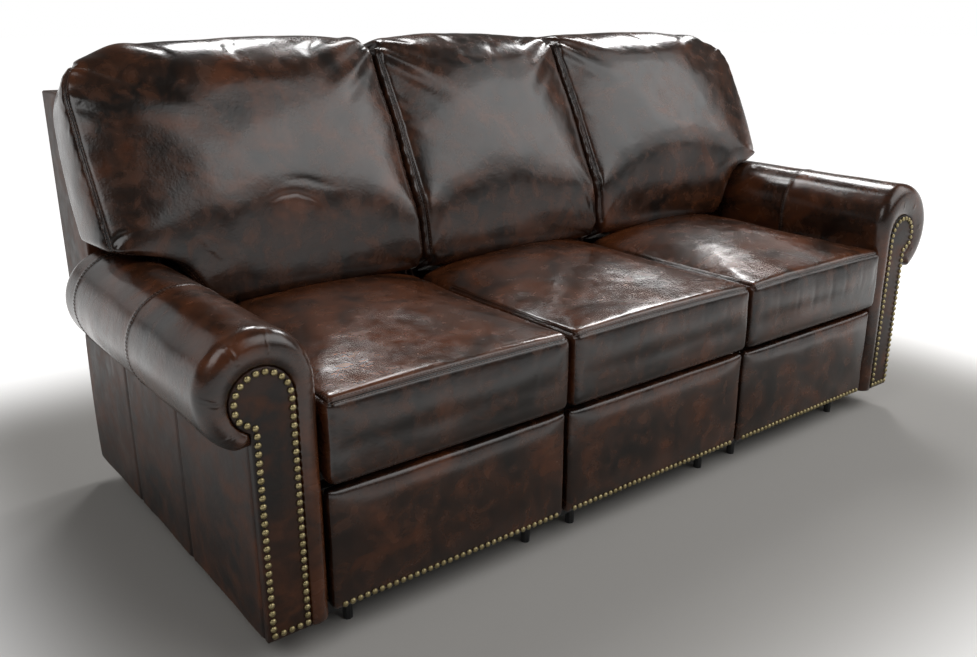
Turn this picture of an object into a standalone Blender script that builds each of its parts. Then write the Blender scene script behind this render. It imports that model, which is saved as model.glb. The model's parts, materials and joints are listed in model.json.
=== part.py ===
"""A three-seat leather sofa with rolled arms, whose backs recline and whose front panels swing out as footrests."""

import math

import bmesh
import bpy
from mathutils import Vector

# Layout, in metres: X across the sofa, Y towards its back, Z up from the floor
CENTRE_SEAT_WIDTH = 0.592
END_SEAT_WIDTH = 0.576
SOFA_DEPTH = 0.960
SEAT_PROUD = 0.010
BACK_DEPTH = 0.460
SEAT_UNDER_BACK = 0.070
SIDE_GAP = 0.005

# Fits: faces that rest on each other, pins in their holes, and cloth beside metal
CONTACT = 0.0003
PIN_CLEARANCE = 0.0002
CLOTH_CLEARANCE = 0.004

# Arms
ARM_WIDTH = 0.128
ARM_SHORT_OF_BACK = 0.020
ARM_BOTTOM = 0.063
ARM_CREASE = 0.440
ARM_REAR_TOP = 0.385
ARM_PADDING = 0.033
ARM_EDGE_ROUND = 0.014
ARM_EDGE_SHOULDER = 0.3
ROLL_RADIUS = 0.104
ROLL_TOP = 0.634
ROLL_SHORT_OF_BACK = 0.220
ROLL_TUCK_ANGLE = -62.0
PANEL_THICKNESS = 0.015
FACING_THICKNESS = 0.014
FACING_BORDER = 0.044
FACING_ROLL_RADIUS = 0.058
FACING_TUCK_ANGLE = -50.0
CARCASS_RAIL = 0.040
CARCASS_WEB = 0.018

# Base rails and feet
RAIL_WIDTH = 0.030
REAR_RAIL_INSET = 0.195
RAIL_END_INSET = 0.025
FOOT_RADIUS = 0.010
FOOT_HEIGHT = 0.036
FOOT_SPACING = 0.450

# Seat frame
PLATE_INSET = 0.058
PLATE_THICKNESS = 0.004
PLATE_BOTTOM = 0.285
PLATE_TOP = 0.360
FLANGE_INSET = 0.010
FLANGE_THICKNESS = 0.004
FRONT_BAR_HEIGHT = 0.022
BAR_WIDTH = 0.025
REAR_BAR_INSET = 0.010
REAR_BAR_HEIGHT = 0.050
WEBBING_THICKNESS = 0.003
WEBBING_WIDTH = 0.050
WEBBING_LENGTHWISE = 3
WEBBING_CROSSWISE = 2

# Seat cushion
SEAT_BOTTOM = 0.322
SEAT_SEAM = 0.490
SEAT_EDGE_RISE = 0.022
SEAT_CROWN = 0.022
SEAT_FALL = 0.014
SEAT_EDGE = 0.030
CUSHION_DRAW = 0.007

# Back: its face leans back from a point above the seat
BACK_LEAN = 26.5
BACK_FOOT_RISE = 0.028
BACK_FACE_HEIGHT = 0.618
BACK_BOXING = 0.100
BACK_CROWN = 0.050
BACK_EDGE = 0.035
WING_REACH = 0.150
WING_BOTTOM = 0.652
WING_STRIP_BOTTOM = 0.500
WING_STRIP_GAP = 0.015
OUTSIDE_TOP = 0.952
OUTSIDE_BOTTOM = 0.160
OUTSIDE_SILL = 0.080
OUTSIDE_FRONT_FOOT = 0.450
OUTSIDE_WALL = 0.008
POST_WIDTH = 0.030
POST_THICKNESS = 0.006
POST_TOP_INSET = 0.088
BACK_RAIL_DEPTH = 0.030
LUMBAR_RAIL_RADIUS = 0.009
LUMBAR_RAIL_UP = 0.120

# Recline hinge
HINGE_BEHIND_FACE = 0.160
HINGE_HEIGHT = 0.360
HINGE_PIN_RADIUS = 0.008
HINGE_EAR_RADIUS = 0.024

# Footrest panel
FOOTREST_BOTTOM = 0.068
FOOTREST_TOP = 0.305
FOOTREST_PAD = 0.028
FOOTREST_CROWN = 0.006
FOOTREST_EDGE = 0.016
BOARD_THICKNESS = 0.015
BOARD_MARGIN = 0.006
BRACKET_PLATE = 0.003
BRACKET_STRAP_HEIGHT = 0.040
FOOTREST_LEG_CLEARANCE = 0.003

# Footrest linkage: two parallelograms in series, closed at the first angle and open at the second
DRIVE_PIVOT_BACK = 0.140
DRIVE_PIVOT_HEIGHT = 0.338
DRIVE_LENGTH = 0.255
CLOSED_ANGLE = -115.0
PIVOT_SPACING = 0.055
FOOTREST_PIVOT_BACK = 0.085
FOOTREST_PIVOT_HEIGHT = 0.215
LINK_WIDTH = 0.020
LINK_THICKNESS = 0.004
LINK_GAP = 0.0025
LINK_PIN_RADIUS = 0.005
TORQUE_TUBE_RADIUS = 0.009
TORQUE_TUBE_ALONG = 0.125

# Facets, and the cells of the stuffed forms
ROUND_SIDES = 8
TUBE_SIDES = 10
LINK_END_STEPS = 4
ROLL_STEPS = 16
CUSHION_CROSS_STEPS = 3
CUSHION_LONG_STEPS = 2
PANEL_CROSS_STEPS = 2
PANEL_HIGH_STEPS = 1

FRONT_Y = SEAT_PROUD - SOFA_DEPTH / 2
REAR_Y = SOFA_DEPTH / 2
ARM_INNER_X = CENTRE_SEAT_WIDTH / 2 + END_SEAT_WIDTH
ARM_OUTER_X = ARM_INNER_X + ARM_WIDTH
ARM_LENGTH = SOFA_DEPTH - ARM_SHORT_OF_BACK
ROLL_LENGTH = SOFA_DEPTH - ROLL_SHORT_OF_BACK
REAR_RAIL_BACK = SOFA_DEPTH - REAR_RAIL_INSET
BACK_FACE_BACK = SOFA_DEPTH - BACK_DEPTH
BACK_FACE_FOOT = SEAT_SEAM + BACK_FOOT_RISE
SEAT_LENGTH = BACK_FACE_BACK + SEAT_UNDER_BACK
REAR_BAR_BACK = SEAT_LENGTH - REAR_BAR_INSET
HINGE_BACK = BACK_FACE_BACK + HINGE_BEHIND_FACE
FOOTREST_DEPTH = FOOTREST_PAD + BOARD_THICKNESS + BRACKET_PLATE + 2 * CONTACT
FRONT_RAIL_BACK = FOOTREST_DEPTH + FOOTREST_LEG_CLEARANCE + RAIL_WIDTH / 2

LEATHER = ("antiqued_leather", (0.045, 0.020, 0.013, 1.0), 0.42, 0.0)
STEEL = ("black_steel", (0.020, 0.020, 0.022, 1.0), 0.45, 0.9)
TIMBER = ("timber", (0.42, 0.29, 0.16, 1.0), 0.7, 0.0)
CANVAS = ("webbing", (0.05, 0.045, 0.04, 1.0), 0.9, 0.0)


def clear_scene():
    for item in list(bpy.data.objects):
        bpy.data.objects.remove(item)


def material_of(finish):
    name, colour, roughness, metallic = finish
    found = bpy.data.materials.get(name)
    if found:
        return found
    made = bpy.data.materials.new(name)
    made.use_nodes = True
    shader = made.node_tree.nodes["Principled BSDF"]
    shader.inputs["Base Color"].default_value = colour
    shader.inputs["Roughness"].default_value = roughness
    shader.inputs["Metallic"].default_value = metallic
    return made


def shape_from(mesh_maker):
    bmesh.ops.recalc_face_normals(mesh_maker, faces=mesh_maker.faces)
    mesh = bpy.data.meshes.new("shape")
    mesh_maker.to_mesh(mesh)
    mesh_maker.free()
    shape = bpy.data.objects.new("shape", mesh)
    bpy.context.scene.collection.objects.link(shape)
    return shape


def loft(rings):
    """A closed solid through rings of equally many points, with both ends capped."""
    mesh_maker = bmesh.new()
    loops = [[mesh_maker.verts.new(point) for point in ring] for ring in rings]
    for lower, upper in zip(loops, loops[1:]):
        for step in range(len(lower)):
            after = (step + 1) % len(lower)
            mesh_maker.faces.new((lower[step], lower[after], upper[after], upper[step]))
    caps = [mesh_maker.faces.new(loops[0]), mesh_maker.faces.new(loops[-1])]
    mesh_maker.normal_update()
    bmesh.ops.triangulate(mesh_maker, faces=caps)
    return shape_from(mesh_maker)


def prism_along_x(outline, low, high):
    """The (y, z) outline, carried from one x to another."""
    return loft([[(x, y, z) for y, z in outline] for x in (low, high)])


def prism_along_y(outline, low, high):
    """The (x, z) outline, carried from one y to another."""
    return loft([[(x, y, z) for x, z in outline] for y in (low, high)])


def box(low, high):
    outline = [(low[1], low[2]), (high[1], low[2]), (high[1], high[2]), (low[1], high[2])]
    return prism_along_x(outline, low[0], high[0])


def rod_along_x(centre, radius, low, high, sides=ROUND_SIDES):
    """A round rod; half a facet is turned so that flats face up and down."""
    turn = math.pi / sides
    angles = [2 * math.pi * step / sides + turn for step in range(sides)]
    outline = [(centre[0] + radius * math.cos(a), centre[1] + radius * math.sin(a)) for a in angles]
    return prism_along_x(outline, low, high)


def finished_by(shape, operation, tools):
    """The shape joined with, or cut by, the tools, which are used up."""
    for tool in tools:
        step = shape.modifiers.new("step", "BOOLEAN")
        step.operation = operation
        step.solver = "EXACT"
        step.object = tool
    graph = bpy.context.evaluated_depsgraph_get()
    mesh = bpy.data.meshes.new_from_object(shape.evaluated_get(graph))
    shape.modifiers.clear()
    shape.data = mesh
    for tool in tools:
        bpy.data.objects.remove(tool)
    return shape


def joined(shapes):
    return finished_by(shapes[0], "UNION", shapes[1:])


def cut(shape, cutters):
    return finished_by(shape, "DIFFERENCE", cutters)


def piece(name, shape, finish, carrier=None):
    """Names a finished shape as one piece of the sofa, carried by an empty on its joint's axis if it moves."""
    shape.name = name
    shape.data.name = name
    shape.data.materials.clear()
    shape.data.materials.append(material_of(finish))
    if carrier:
        shape.parent = carrier
        shape.matrix_parent_inverse = carrier.matrix_world.inverted()
    return shape


def pivot(name, place, carrier=None):
    empty = bpy.data.objects.new(name, None)
    empty.location = place
    bpy.context.scene.collection.objects.link(empty)
    bpy.context.view_layer.update()
    if carrier:
        empty.parent = carrier
        empty.matrix_parent_inverse = carrier.matrix_world.inverted()
        bpy.context.view_layer.update()
    return empty


def padded_form(stations, filled, place, crisp):
    """A stuffed form: the outer faces of a lattice of cells, each corner placed by a rule, then smoothed.

    Edges between two crisp corners stay sharp, where the form rests flat on what carries it."""
    counts = [len(row) - 1 for row in stations]
    mesh_maker = bmesh.new()
    crease = mesh_maker.edges.layers.float.new("crease_edge")
    corners = {}

    def corner(index):
        if index not in corners:
            corners[index] = mesh_maker.verts.new(place(*index))
        return corners[index]

    def inside(cell):
        in_range = all(0 <= cell[axis] < counts[axis] for axis in range(3))
        return in_range and filled(*cell)

    cells = [(i, j, k) for i in range(counts[0]) for j in range(counts[1]) for k in range(counts[2])]
    for cell in filter(inside, cells):
        for axis in range(3):
            for side in (0, 1):
                beside = list(cell)
                beside[axis] += 2 * side - 1
                if inside(tuple(beside)):
                    continue
                across, along = [other for other in range(3) if other != axis]
                ring = []
                for step_a, step_b in ((0, 0), (1, 0), (1, 1), (0, 1)):
                    index = list(cell)
                    index[axis] += side
                    index[across] += step_a
                    index[along] += step_b
                    ring.append(corner(tuple(index)))
                mesh_maker.faces.new(ring)
    index_of = {vertex: index for index, vertex in corners.items()}
    for edge in mesh_maker.edges:
        if all(crisp(*index_of[vertex]) for vertex in edge.verts):
            edge[crease] = 1.0
    form = shape_from(mesh_maker)
    smooth = form.modifiers.new("stuffing", "SUBSURF")
    smooth.levels = 1
    smooth.render_levels = 1
    return form


def stations_between(low, high, edge, cells):
    """Lattice stations with a narrow cell at each end and equal cells between."""
    inner_low = low + edge
    inner_high = high - edge
    middle = [inner_low + (inner_high - inner_low) * step / cells for step in range(cells + 1)]
    return [low] + middle + [high]


def bulge(value, low, high):
    """1 in the middle of a range, falling to 0 at both ends."""
    across = (2 * value - low - high) / (high - low)
    return max(0.0, 1.0 - across * across)


class Seat:
    """One seat's place across the sofa, and the side on which its back has a wing over an arm."""

    def __init__(self, name, low, high, wing):
        self.name = name
        self.low = low
        self.high = high
        self.wing = wing
        self.middle = (low + high) / 2

    def layer(self, hand, inset, thickness):
        """The x range of a plate that lies inset from the seat's left or right side."""
        if hand == "lh":
            return self.low + inset, self.low + inset + thickness
        return self.high - inset - thickness, self.high - inset


SEATS = [
    Seat("left", -ARM_INNER_X, -CENTRE_SEAT_WIDTH / 2, -1),
    Seat("centre", -CENTRE_SEAT_WIDTH / 2, CENTRE_SEAT_WIDTH / 2, 0),
    Seat("right", CENTRE_SEAT_WIDTH / 2, ARM_INNER_X, 1),
]
HANDS = ("lh", "rh")

# Linkage pivots as (y, z) at rest
DRIVE_PIVOT = Vector((FRONT_Y + DRIVE_PIVOT_BACK, DRIVE_PIVOT_HEIGHT))
FOOTREST_PIVOT = Vector((FRONT_Y + FOOTREST_PIVOT_BACK, FOOTREST_PIVOT_HEIGHT))
DRIVE_WAY = Vector((-math.cos(math.radians(CLOSED_ANGLE)), math.sin(math.radians(CLOSED_ANGLE))))
DRIVE_END = DRIVE_PIVOT + DRIVE_LENGTH * DRIVE_WAY
LONG_WAY = (FOOTREST_PIVOT - DRIVE_END).normalized()
REAR_PIVOT = DRIVE_PIVOT - PIVOT_SPACING * LONG_WAY
REAR_END = DRIVE_END - PIVOT_SPACING * LONG_WAY
SHORT_PIVOT = DRIVE_END - PIVOT_SPACING * DRIVE_WAY
GUIDE_PIVOT = FOOTREST_PIVOT - PIVOT_SPACING * DRIVE_WAY
HINGE = Vector((FRONT_Y + HINGE_BACK, HINGE_HEIGHT))

# Insets of the plates that lie side by side in a seat's linkage
DRIVE_LAYER = PLATE_INSET + PLATE_THICKNESS + LINK_GAP
LONG_LAYER = DRIVE_LAYER + LINK_THICKNESS + LINK_GAP
HOLE_RADIUS = (LINK_PIN_RADIUS + PIN_CLEARANCE) / math.cos(math.pi / ROUND_SIDES)
HINGE_HOLE_RADIUS = (HINGE_PIN_RADIUS + PIN_CLEARANCE) / math.cos(math.pi / ROUND_SIDES)


def back_point(up, behind):
    """(y, z) of a point up the leaning face and behind it."""
    lean = math.radians(BACK_LEAN)
    y = FRONT_Y + BACK_FACE_BACK + up * math.sin(lean) + behind * math.cos(lean)
    z = BACK_FACE_FOOT + up * math.cos(lean) - behind * math.sin(lean)
    return y, z


def back_plane_at(height, behind):
    """(y, z) where a plane parallel to the leaning face, so far behind it, reaches a height."""
    lean = math.radians(BACK_LEAN)
    up = (height - BACK_FACE_FOOT + behind * math.sin(lean)) / math.cos(lean)
    return back_point(up, behind)


def base_rail(name, back):
    """A full-width rail under the arms and seats, standing on its feet."""
    middle = FRONT_Y + back
    reach = ARM_OUTER_X - RAIL_END_INSET
    low = (-reach, middle - RAIL_WIDTH / 2, FOOT_HEIGHT)
    high = (reach, middle + RAIL_WIDTH / 2, ARM_BOTTOM - CONTACT)
    feet = []
    for seat in SEATS:
        for side in (-1, 1):
            x = seat.middle + side * FOOT_SPACING / 2
            feet.append(foot(x, middle))
    piece(name, joined([box(low, high)] + feet), STEEL)


def foot(x, y):
    top = (FOOT_HEIGHT + ARM_BOTTOM) / 2
    angles = [2 * math.pi * step / ROUND_SIDES for step in range(ROUND_SIDES)]
    rings = []
    for z in (0.0, top):
        rings.append([(x + FOOT_RADIUS * math.cos(a), y + FOOT_RADIUS * math.sin(a), z) for a in angles])
    return loft(rings)


def roll_arc(centre, radius, last_angle):
    """(x, z) points over the top of a roll, from its inner side round to where it tucks under."""
    points = []
    for step in range(ROLL_STEPS + 1):
        angle = math.radians(180.0 + (last_angle - 180.0) * step / ROLL_STEPS)
        points.append((centre[0] + radius * math.cos(angle), centre[1] + radius * math.sin(angle)))
    return points


def arm_cover_ring(y, tuck):
    """The arm cover's section, a padded inner wall and roll, drawn in by tuck where its ends are rounded."""
    centre = (ARM_INNER_X + ROLL_RADIUS, ROLL_TOP - ROLL_RADIUS)
    outside = [(ARM_INNER_X + tuck, ARM_BOTTOM)]
    outside += roll_arc(centre, ROLL_RADIUS - tuck, ROLL_TUCK_ANGLE)
    wall = ARM_INNER_X + ARM_PADDING
    inside = [(ARM_OUTER_X, ARM_CREASE), (wall, ARM_CREASE), (wall, ARM_BOTTOM)]
    return [(x, y, z) for x, z in outside + inside]


def facing_outline(margin):
    """The front facing's (x, z) outline, grown by margin."""
    radius = FACING_ROLL_RADIUS + margin
    centre_x = ARM_INNER_X + FACING_BORDER + FACING_ROLL_RADIUS
    centre_z = ROLL_TOP - ROLL_RADIUS
    outline = [(ARM_INNER_X + FACING_BORDER - margin, ARM_BOTTOM)]
    outline += roll_arc((centre_x, centre_z), radius, FACING_TUCK_ANGLE)
    outline += [(ARM_OUTER_X, ARM_CREASE + PANEL_THICKNESS), (ARM_OUTER_X, ARM_BOTTOM)]
    return outline


def arm(side):
    """One rolled arm: timber carcass, leather cover with its roll, outer side panel and front facing."""
    name = "left_arm" if side < 0 else "right_arm"
    front = FRONT_Y
    roll_end = FRONT_Y + ROLL_LENGTH
    rear = FRONT_Y + ARM_LENGTH
    wall = ARM_INNER_X + ARM_PADDING
    facing_back = front + FACING_THICKNESS

    shoulder = ARM_EDGE_ROUND * ARM_EDGE_SHOULDER
    round_ends = [
        (front, ARM_EDGE_ROUND),
        (front + shoulder, shoulder),
        (front + ARM_EDGE_ROUND, 0.0),
        (roll_end - ARM_EDGE_ROUND, 0.0),
        (roll_end - shoulder, shoulder),
        (roll_end, ARM_EDGE_ROUND),
    ]
    cover = loft([arm_cover_ring(y, tuck) for y, tuck in round_ends])
    low_wall_start = roll_end - 2 * ARM_EDGE_ROUND
    low_wall = box((ARM_INNER_X, low_wall_start, ARM_BOTTOM), (wall, rear, ARM_REAR_TOP))
    recess = prism_along_y(facing_outline(CONTACT), front - PANEL_THICKNESS, facing_back + CONTACT)
    cover = cut(joined([cover, low_wall]), [recess])

    facing = prism_along_y(facing_outline(0.0), front, facing_back)

    side_low = (ARM_OUTER_X - PANEL_THICKNESS, facing_back + 2 * CONTACT, ARM_BOTTOM)
    side_panel = box(side_low, (ARM_OUTER_X, roll_end, ARM_CREASE - CONTACT))
    side_rear = box((side_low[0], roll_end - PANEL_THICKNESS, ARM_BOTTOM), (ARM_OUTER_X, rear, ARM_REAR_TOP))
    inner = wall + CONTACT
    rear_return = box((inner, rear - PANEL_THICKNESS, ARM_BOTTOM), (ARM_OUTER_X, rear, ARM_REAR_TOP))
    top_return = box(
        (inner, roll_end + CONTACT, ARM_REAR_TOP - PANEL_THICKNESS), (ARM_OUTER_X, rear, ARM_REAR_TOP)
    )
    side_panel = joined([side_panel, side_rear, rear_return, top_return])

    carcass_low = wall + CONTACT
    carcass_high = ARM_OUTER_X - PANEL_THICKNESS - CONTACT
    step_y = roll_end - CONTACT
    carcass_front = facing_back + 2 * CONTACT
    carcass_rear = rear - PANEL_THICKNESS - CONTACT
    high_top = ARM_CREASE - CONTACT
    low_top = ARM_REAR_TOP - PANEL_THICKNESS - CONTACT
    carcass = prism_along_x(
        [
            (carcass_front, ARM_BOTTOM),
            (carcass_rear, ARM_BOTTOM),
            (carcass_rear, low_top),
            (step_y, low_top),
            (step_y, high_top),
            (carcass_front, high_top),
        ],
        carcass_low,
        carcass_high,
    )
    web_middle = (carcass_low + carcass_high) / 2
    pockets = []
    for pocket_low, pocket_high in (
        (carcass_low - CARCASS_RAIL, web_middle - CARCASS_WEB / 2),
        (web_middle + CARCASS_WEB / 2, carcass_high + CARCASS_RAIL),
    ):
        corner_low = (pocket_low, carcass_front + CARCASS_RAIL, ARM_BOTTOM + CARCASS_RAIL)
        pockets.append(box(corner_low, (pocket_high, step_y - CARCASS_RAIL, high_top - CARCASS_RAIL)))
    carcass = cut(carcass, pockets)

    made = {"cover": cover, "facing": facing, "side_panel": side_panel, "carcass": carcass}
    for part_name, shape in made.items():
        if side < 0:
            mirror_across_x(shape)
        piece(f"{name}_{part_name}", shape, TIMBER if part_name == "carcass" else LEATHER)


def mirror_across_x(shape):
    for vertex in shape.data.vertices:
        vertex.co.x = -vertex.co.x
    shape.data.flip_normals()


def seat_frame(seat):
    """Two pressed side plates that stand on the base rails, with top flanges, joined by front and rear bars."""
    leg_bottom = ARM_BOTTOM
    front_leg = [FRONT_Y + FRONT_RAIL_BACK + side * RAIL_WIDTH / 2 for side in (-1, 1)]
    rear_leg = [FRONT_Y + REAR_RAIL_BACK + side * RAIL_WIDTH / 2 for side in (-1, 1)]
    ear = []
    for step in range(LINK_END_STEPS + 1):
        angle = math.pi * step / LINK_END_STEPS
        ear.append(
            (HINGE.x + HINGE_EAR_RADIUS * math.cos(angle), HINGE.y + HINGE_EAR_RADIUS * math.sin(angle))
        )
    outline = [
        (front_leg[0], leg_bottom),
        (front_leg[1], leg_bottom),
        (front_leg[1], PLATE_BOTTOM),
        (rear_leg[0], PLATE_BOTTOM),
        (rear_leg[0], leg_bottom),
        (rear_leg[1], leg_bottom),
        (rear_leg[1], PLATE_BOTTOM),
    ]
    outline += ear
    outline += [(front_leg[0], PLATE_TOP)]
    inner = PLATE_INSET + PLATE_THICKNESS / 2
    front_bar = box(
        (seat.low + inner, front_leg[0], PLATE_TOP - FRONT_BAR_HEIGHT),
        (seat.high - inner, front_leg[0] + BAR_WIDTH, PLATE_TOP),
    )
    rear_bar_y = FRONT_Y + REAR_BAR_BACK
    rear_bar = box(
        (seat.low + inner, rear_bar_y, PLATE_TOP - REAR_BAR_HEIGHT),
        (seat.high - inner, rear_bar_y + BAR_WIDTH, PLATE_TOP),
    )
    shapes = [front_bar, rear_bar]
    for hand in HANDS:
        shapes.append(prism_along_x(outline, *seat.layer(hand, PLATE_INSET, PLATE_THICKNESS)))
        low, high = seat.layer(hand, FLANGE_INSET, PLATE_INSET + PLATE_THICKNESS / 2 - FLANGE_INSET)
        flange_low = (low, front_leg[0], PLATE_TOP - FLANGE_THICKNESS)
        shapes.append(box(flange_low, (high, rear_bar_y + BAR_WIDTH, PLATE_TOP)))
    holes = []
    for centre, radius in (
        (DRIVE_PIVOT, HOLE_RADIUS),
        (REAR_PIVOT, HOLE_RADIUS),
        (HINGE, HINGE_HOLE_RADIUS),
    ):
        holes.append(rod_along_x(centre, radius, seat.low, seat.high))
    piece(f"{seat.name}_seat_frame", cut(joined(shapes), holes), STEEL)


def seat_webbing(seat):
    """Elastic straps woven across the frame, fused where they cross."""
    low = seat.low + FLANGE_INSET
    high = seat.high - FLANGE_INSET
    front = FRONT_Y + FRONT_RAIL_BACK - RAIL_WIDTH / 2
    rear = FRONT_Y + REAR_BAR_BACK + BAR_WIDTH
    bottom = PLATE_TOP + CONTACT
    top = bottom + WEBBING_THICKNESS
    straps = []
    for step in range(WEBBING_LENGTHWISE):
        x = low + (high - low) * (step + 0.5) / WEBBING_LENGTHWISE
        straps.append(box((x - WEBBING_WIDTH / 2, front, bottom), (x + WEBBING_WIDTH / 2, rear, top)))
    for step in range(WEBBING_CROSSWISE):
        y = front + (rear - front) * (step + 0.5) / WEBBING_CROSSWISE
        straps.append(box((low, y - WEBBING_WIDTH / 2, bottom), (high, y + WEBBING_WIDTH / 2, top)))
    piece(f"{seat.name}_seat_webbing", joined(straps), CANVAS)


def seat_cushion(seat):
    """A crowned seat with drawn-in sides, whose front border hangs down over the frame."""
    low = seat.low + SIDE_GAP
    high = seat.high - SIDE_GAP
    front = FRONT_Y - SEAT_PROUD
    rear = FRONT_Y + SEAT_LENGTH
    frame_front = FRONT_Y + FRONT_RAIL_BACK - RAIL_WIDTH / 2
    lip_back = frame_front - CLOTH_CLEARANCE
    deck = PLATE_TOP + CONTACT + WEBBING_THICKNESS + CONTACT
    xs = stations_between(low, high, SEAT_EDGE, CUSHION_CROSS_STEPS)
    ys = [front, lip_back]
    ys += stations_between(lip_back, rear, SEAT_EDGE, CUSHION_LONG_STEPS)[2:]
    zs = [SEAT_BOTTOM, deck, SEAT_SEAM, SEAT_SEAM + SEAT_EDGE_RISE]
    last = [len(row) - 1 for row in (xs, ys, zs)]

    def filled(i, j, k):
        return j == 0 or k >= 1

    def place(i, j, k):
        x, y, z = xs[i], ys[j], zs[k]
        across = bulge(x, low, high)
        along = bulge(y, front, rear)
        if k == last[2]:
            z += SEAT_CROWN * across * along - SEAT_FALL * (y - front) / (rear - front)
        if i in (0, last[0]) and k == 2:
            x += CUSHION_DRAW * along * (1 if i == 0 else -1)
        if j == 0 and k > 0:
            y += SEAT_PROUD * (1.0 - across)
        return x, y, z

    def crisp(i, j, k):
        return k <= 1 and j >= 1 or k == 0

    form = padded_form((xs, ys, zs), filled, place, crisp)
    piece(f"{seat.name}_seat_cushion", form, LEATHER)


def back_cushion(seat, carrier):
    """A leaning back cushion with a crowned face; on an end seat its upper part widens over the arm."""
    low = seat.low + SIDE_GAP
    high = seat.high - SIDE_GAP
    wing_low = low - WING_REACH if seat.wing < 0 else low
    wing_high = high + WING_REACH if seat.wing > 0 else high
    xs = stations_between(low, high, BACK_EDGE, CUSHION_CROSS_STEPS)
    main_cells = len(xs) - 1
    first = 0
    if seat.wing < 0:
        xs = [wing_low, wing_low + BACK_EDGE] + xs
        first = 2
    if seat.wing > 0:
        xs = xs + [wing_high - BACK_EDGE, wing_high]
    main_last = first + main_cells
    lean = math.radians(BACK_LEAN)
    wing_up = (WING_BOTTOM - BACK_FACE_FOOT) / math.cos(lean)
    ups = [0.0, BACK_EDGE, wing_up]
    wing_row = len(ups) - 1
    ups += stations_between(wing_up, BACK_FACE_HEIGHT, BACK_EDGE, CUSHION_LONG_STEPS)[1:]
    behinds = [0.0, BACK_BOXING]
    top = len(ups) - 1

    def filled(i, j, k):
        return first <= i < main_last or j >= wing_row

    def place(i, j, k):
        x, up, behind = xs[i], ups[j], behinds[k]
        face_low, face_high = (wing_low, wing_high) if j > wing_row else (low, high)
        fullness = math.sqrt(bulge(x, face_low, face_high) * bulge(up, -BACK_EDGE, BACK_FACE_HEIGHT))
        level = up + behind * math.tan(lean) if j <= wing_row else up
        if k == 0:
            behind -= BACK_CROWN * fullness
        if j == top:
            level -= CUSHION_DRAW * (1.0 - bulge(x, wing_low, wing_high))
        y, z = back_point(level, behind)
        return x, y, z

    def crisp(i, j, k):
        return k == 1

    form = padded_form((xs, ups, behinds), filled, place, crisp)
    piece(f"{seat.name}_back_cushion", form, LEATHER, carrier)


def outside_back(seat, carrier):
    """The upholstered shell behind a back cushion, open to the front and below, with the wing's side strip."""
    low = seat.low + SIDE_GAP
    high = seat.high - SIDE_GAP
    rim = BACK_BOXING + CONTACT
    front = back_plane_at(OUTSIDE_FRONT_FOOT, rim)[0]
    outline = [
        (front, OUTSIDE_TOP),
        (REAR_Y, OUTSIDE_TOP),
        (REAR_Y, OUTSIDE_BOTTOM),
        (REAR_Y - OUTSIDE_SILL, OUTSIDE_BOTTOM),
        (front, OUTSIDE_FRONT_FOOT),
    ]
    wall = OUTSIDE_WALL
    clear = front - BACK_BOXING
    shapes = [prism_along_x(outline, low, high)]
    hollows = [box((low + wall, clear, 0.0), (high - wall, REAR_Y - wall, OUTSIDE_TOP - wall))]
    if seat.wing:
        strip_front = FRONT_Y + ROLL_LENGTH + WING_STRIP_GAP
        wing_outline = [
            (front, OUTSIDE_TOP),
            (REAR_Y, OUTSIDE_TOP),
            (REAR_Y, WING_STRIP_BOTTOM),
            (strip_front, WING_STRIP_BOTTOM),
            (strip_front, WING_BOTTOM),
            (front, WING_BOTTOM),
        ]
        hollow_outline = [
            (clear, OUTSIDE_TOP - wall),
            (REAR_Y - wall, OUTSIDE_TOP - wall),
            (REAR_Y - wall, WING_STRIP_BOTTOM + wall),
            (strip_front + wall, WING_STRIP_BOTTOM + wall),
            (strip_front + wall, WING_BOTTOM + wall),
            (clear, WING_BOTTOM + wall),
        ]
        if seat.wing < 0:
            shapes.append(prism_along_x(wing_outline, low - WING_REACH, low + wall / 2))
            hollows.append(prism_along_x(hollow_outline, low - WING_REACH + wall, low))
        else:
            shapes.append(prism_along_x(wing_outline, high - wall / 2, high + WING_REACH))
            hollows.append(prism_along_x(hollow_outline, high, high + WING_REACH - wall))
    over = back_plane_at(OUTSIDE_TOP + BACK_BOXING, rim)
    under = back_plane_at(OUTSIDE_FRONT_FOOT - BACK_BOXING, rim)
    lean_cut = [over, (clear, over[1]), (clear, under[1]), under]
    reach = WING_REACH + SIDE_GAP
    hollows.append(prism_along_x(lean_cut, low - reach, high + reach))
    shell = cut(joined(shapes), hollows)
    piece(f"{seat.name}_outside_back", shell, LEATHER, carrier)


def bar_outline(start, end, width):
    """A flat bar's outline with round ends."""
    along = (end - start).normalized()
    heading = math.atan2(along.y, along.x)
    points = []
    for centre, turn in ((end, heading - math.pi / 2), (start, heading + math.pi / 2)):
        for step in range(LINK_END_STEPS + 1):
            angle = turn + math.pi * step / LINK_END_STEPS
            points.append((centre.x + width / 2 * math.cos(angle), centre.y + width / 2 * math.sin(angle)))
    return points


def pin_from(seat, hand, centre, radius, inset, reach):
    """A pin that starts inside a plate at this inset and reaches so far towards the seat's side."""
    low, high = seat.layer(hand, inset - reach, reach + LINK_THICKNESS / 2)
    return rod_along_x(centre, radius, low, high)


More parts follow.
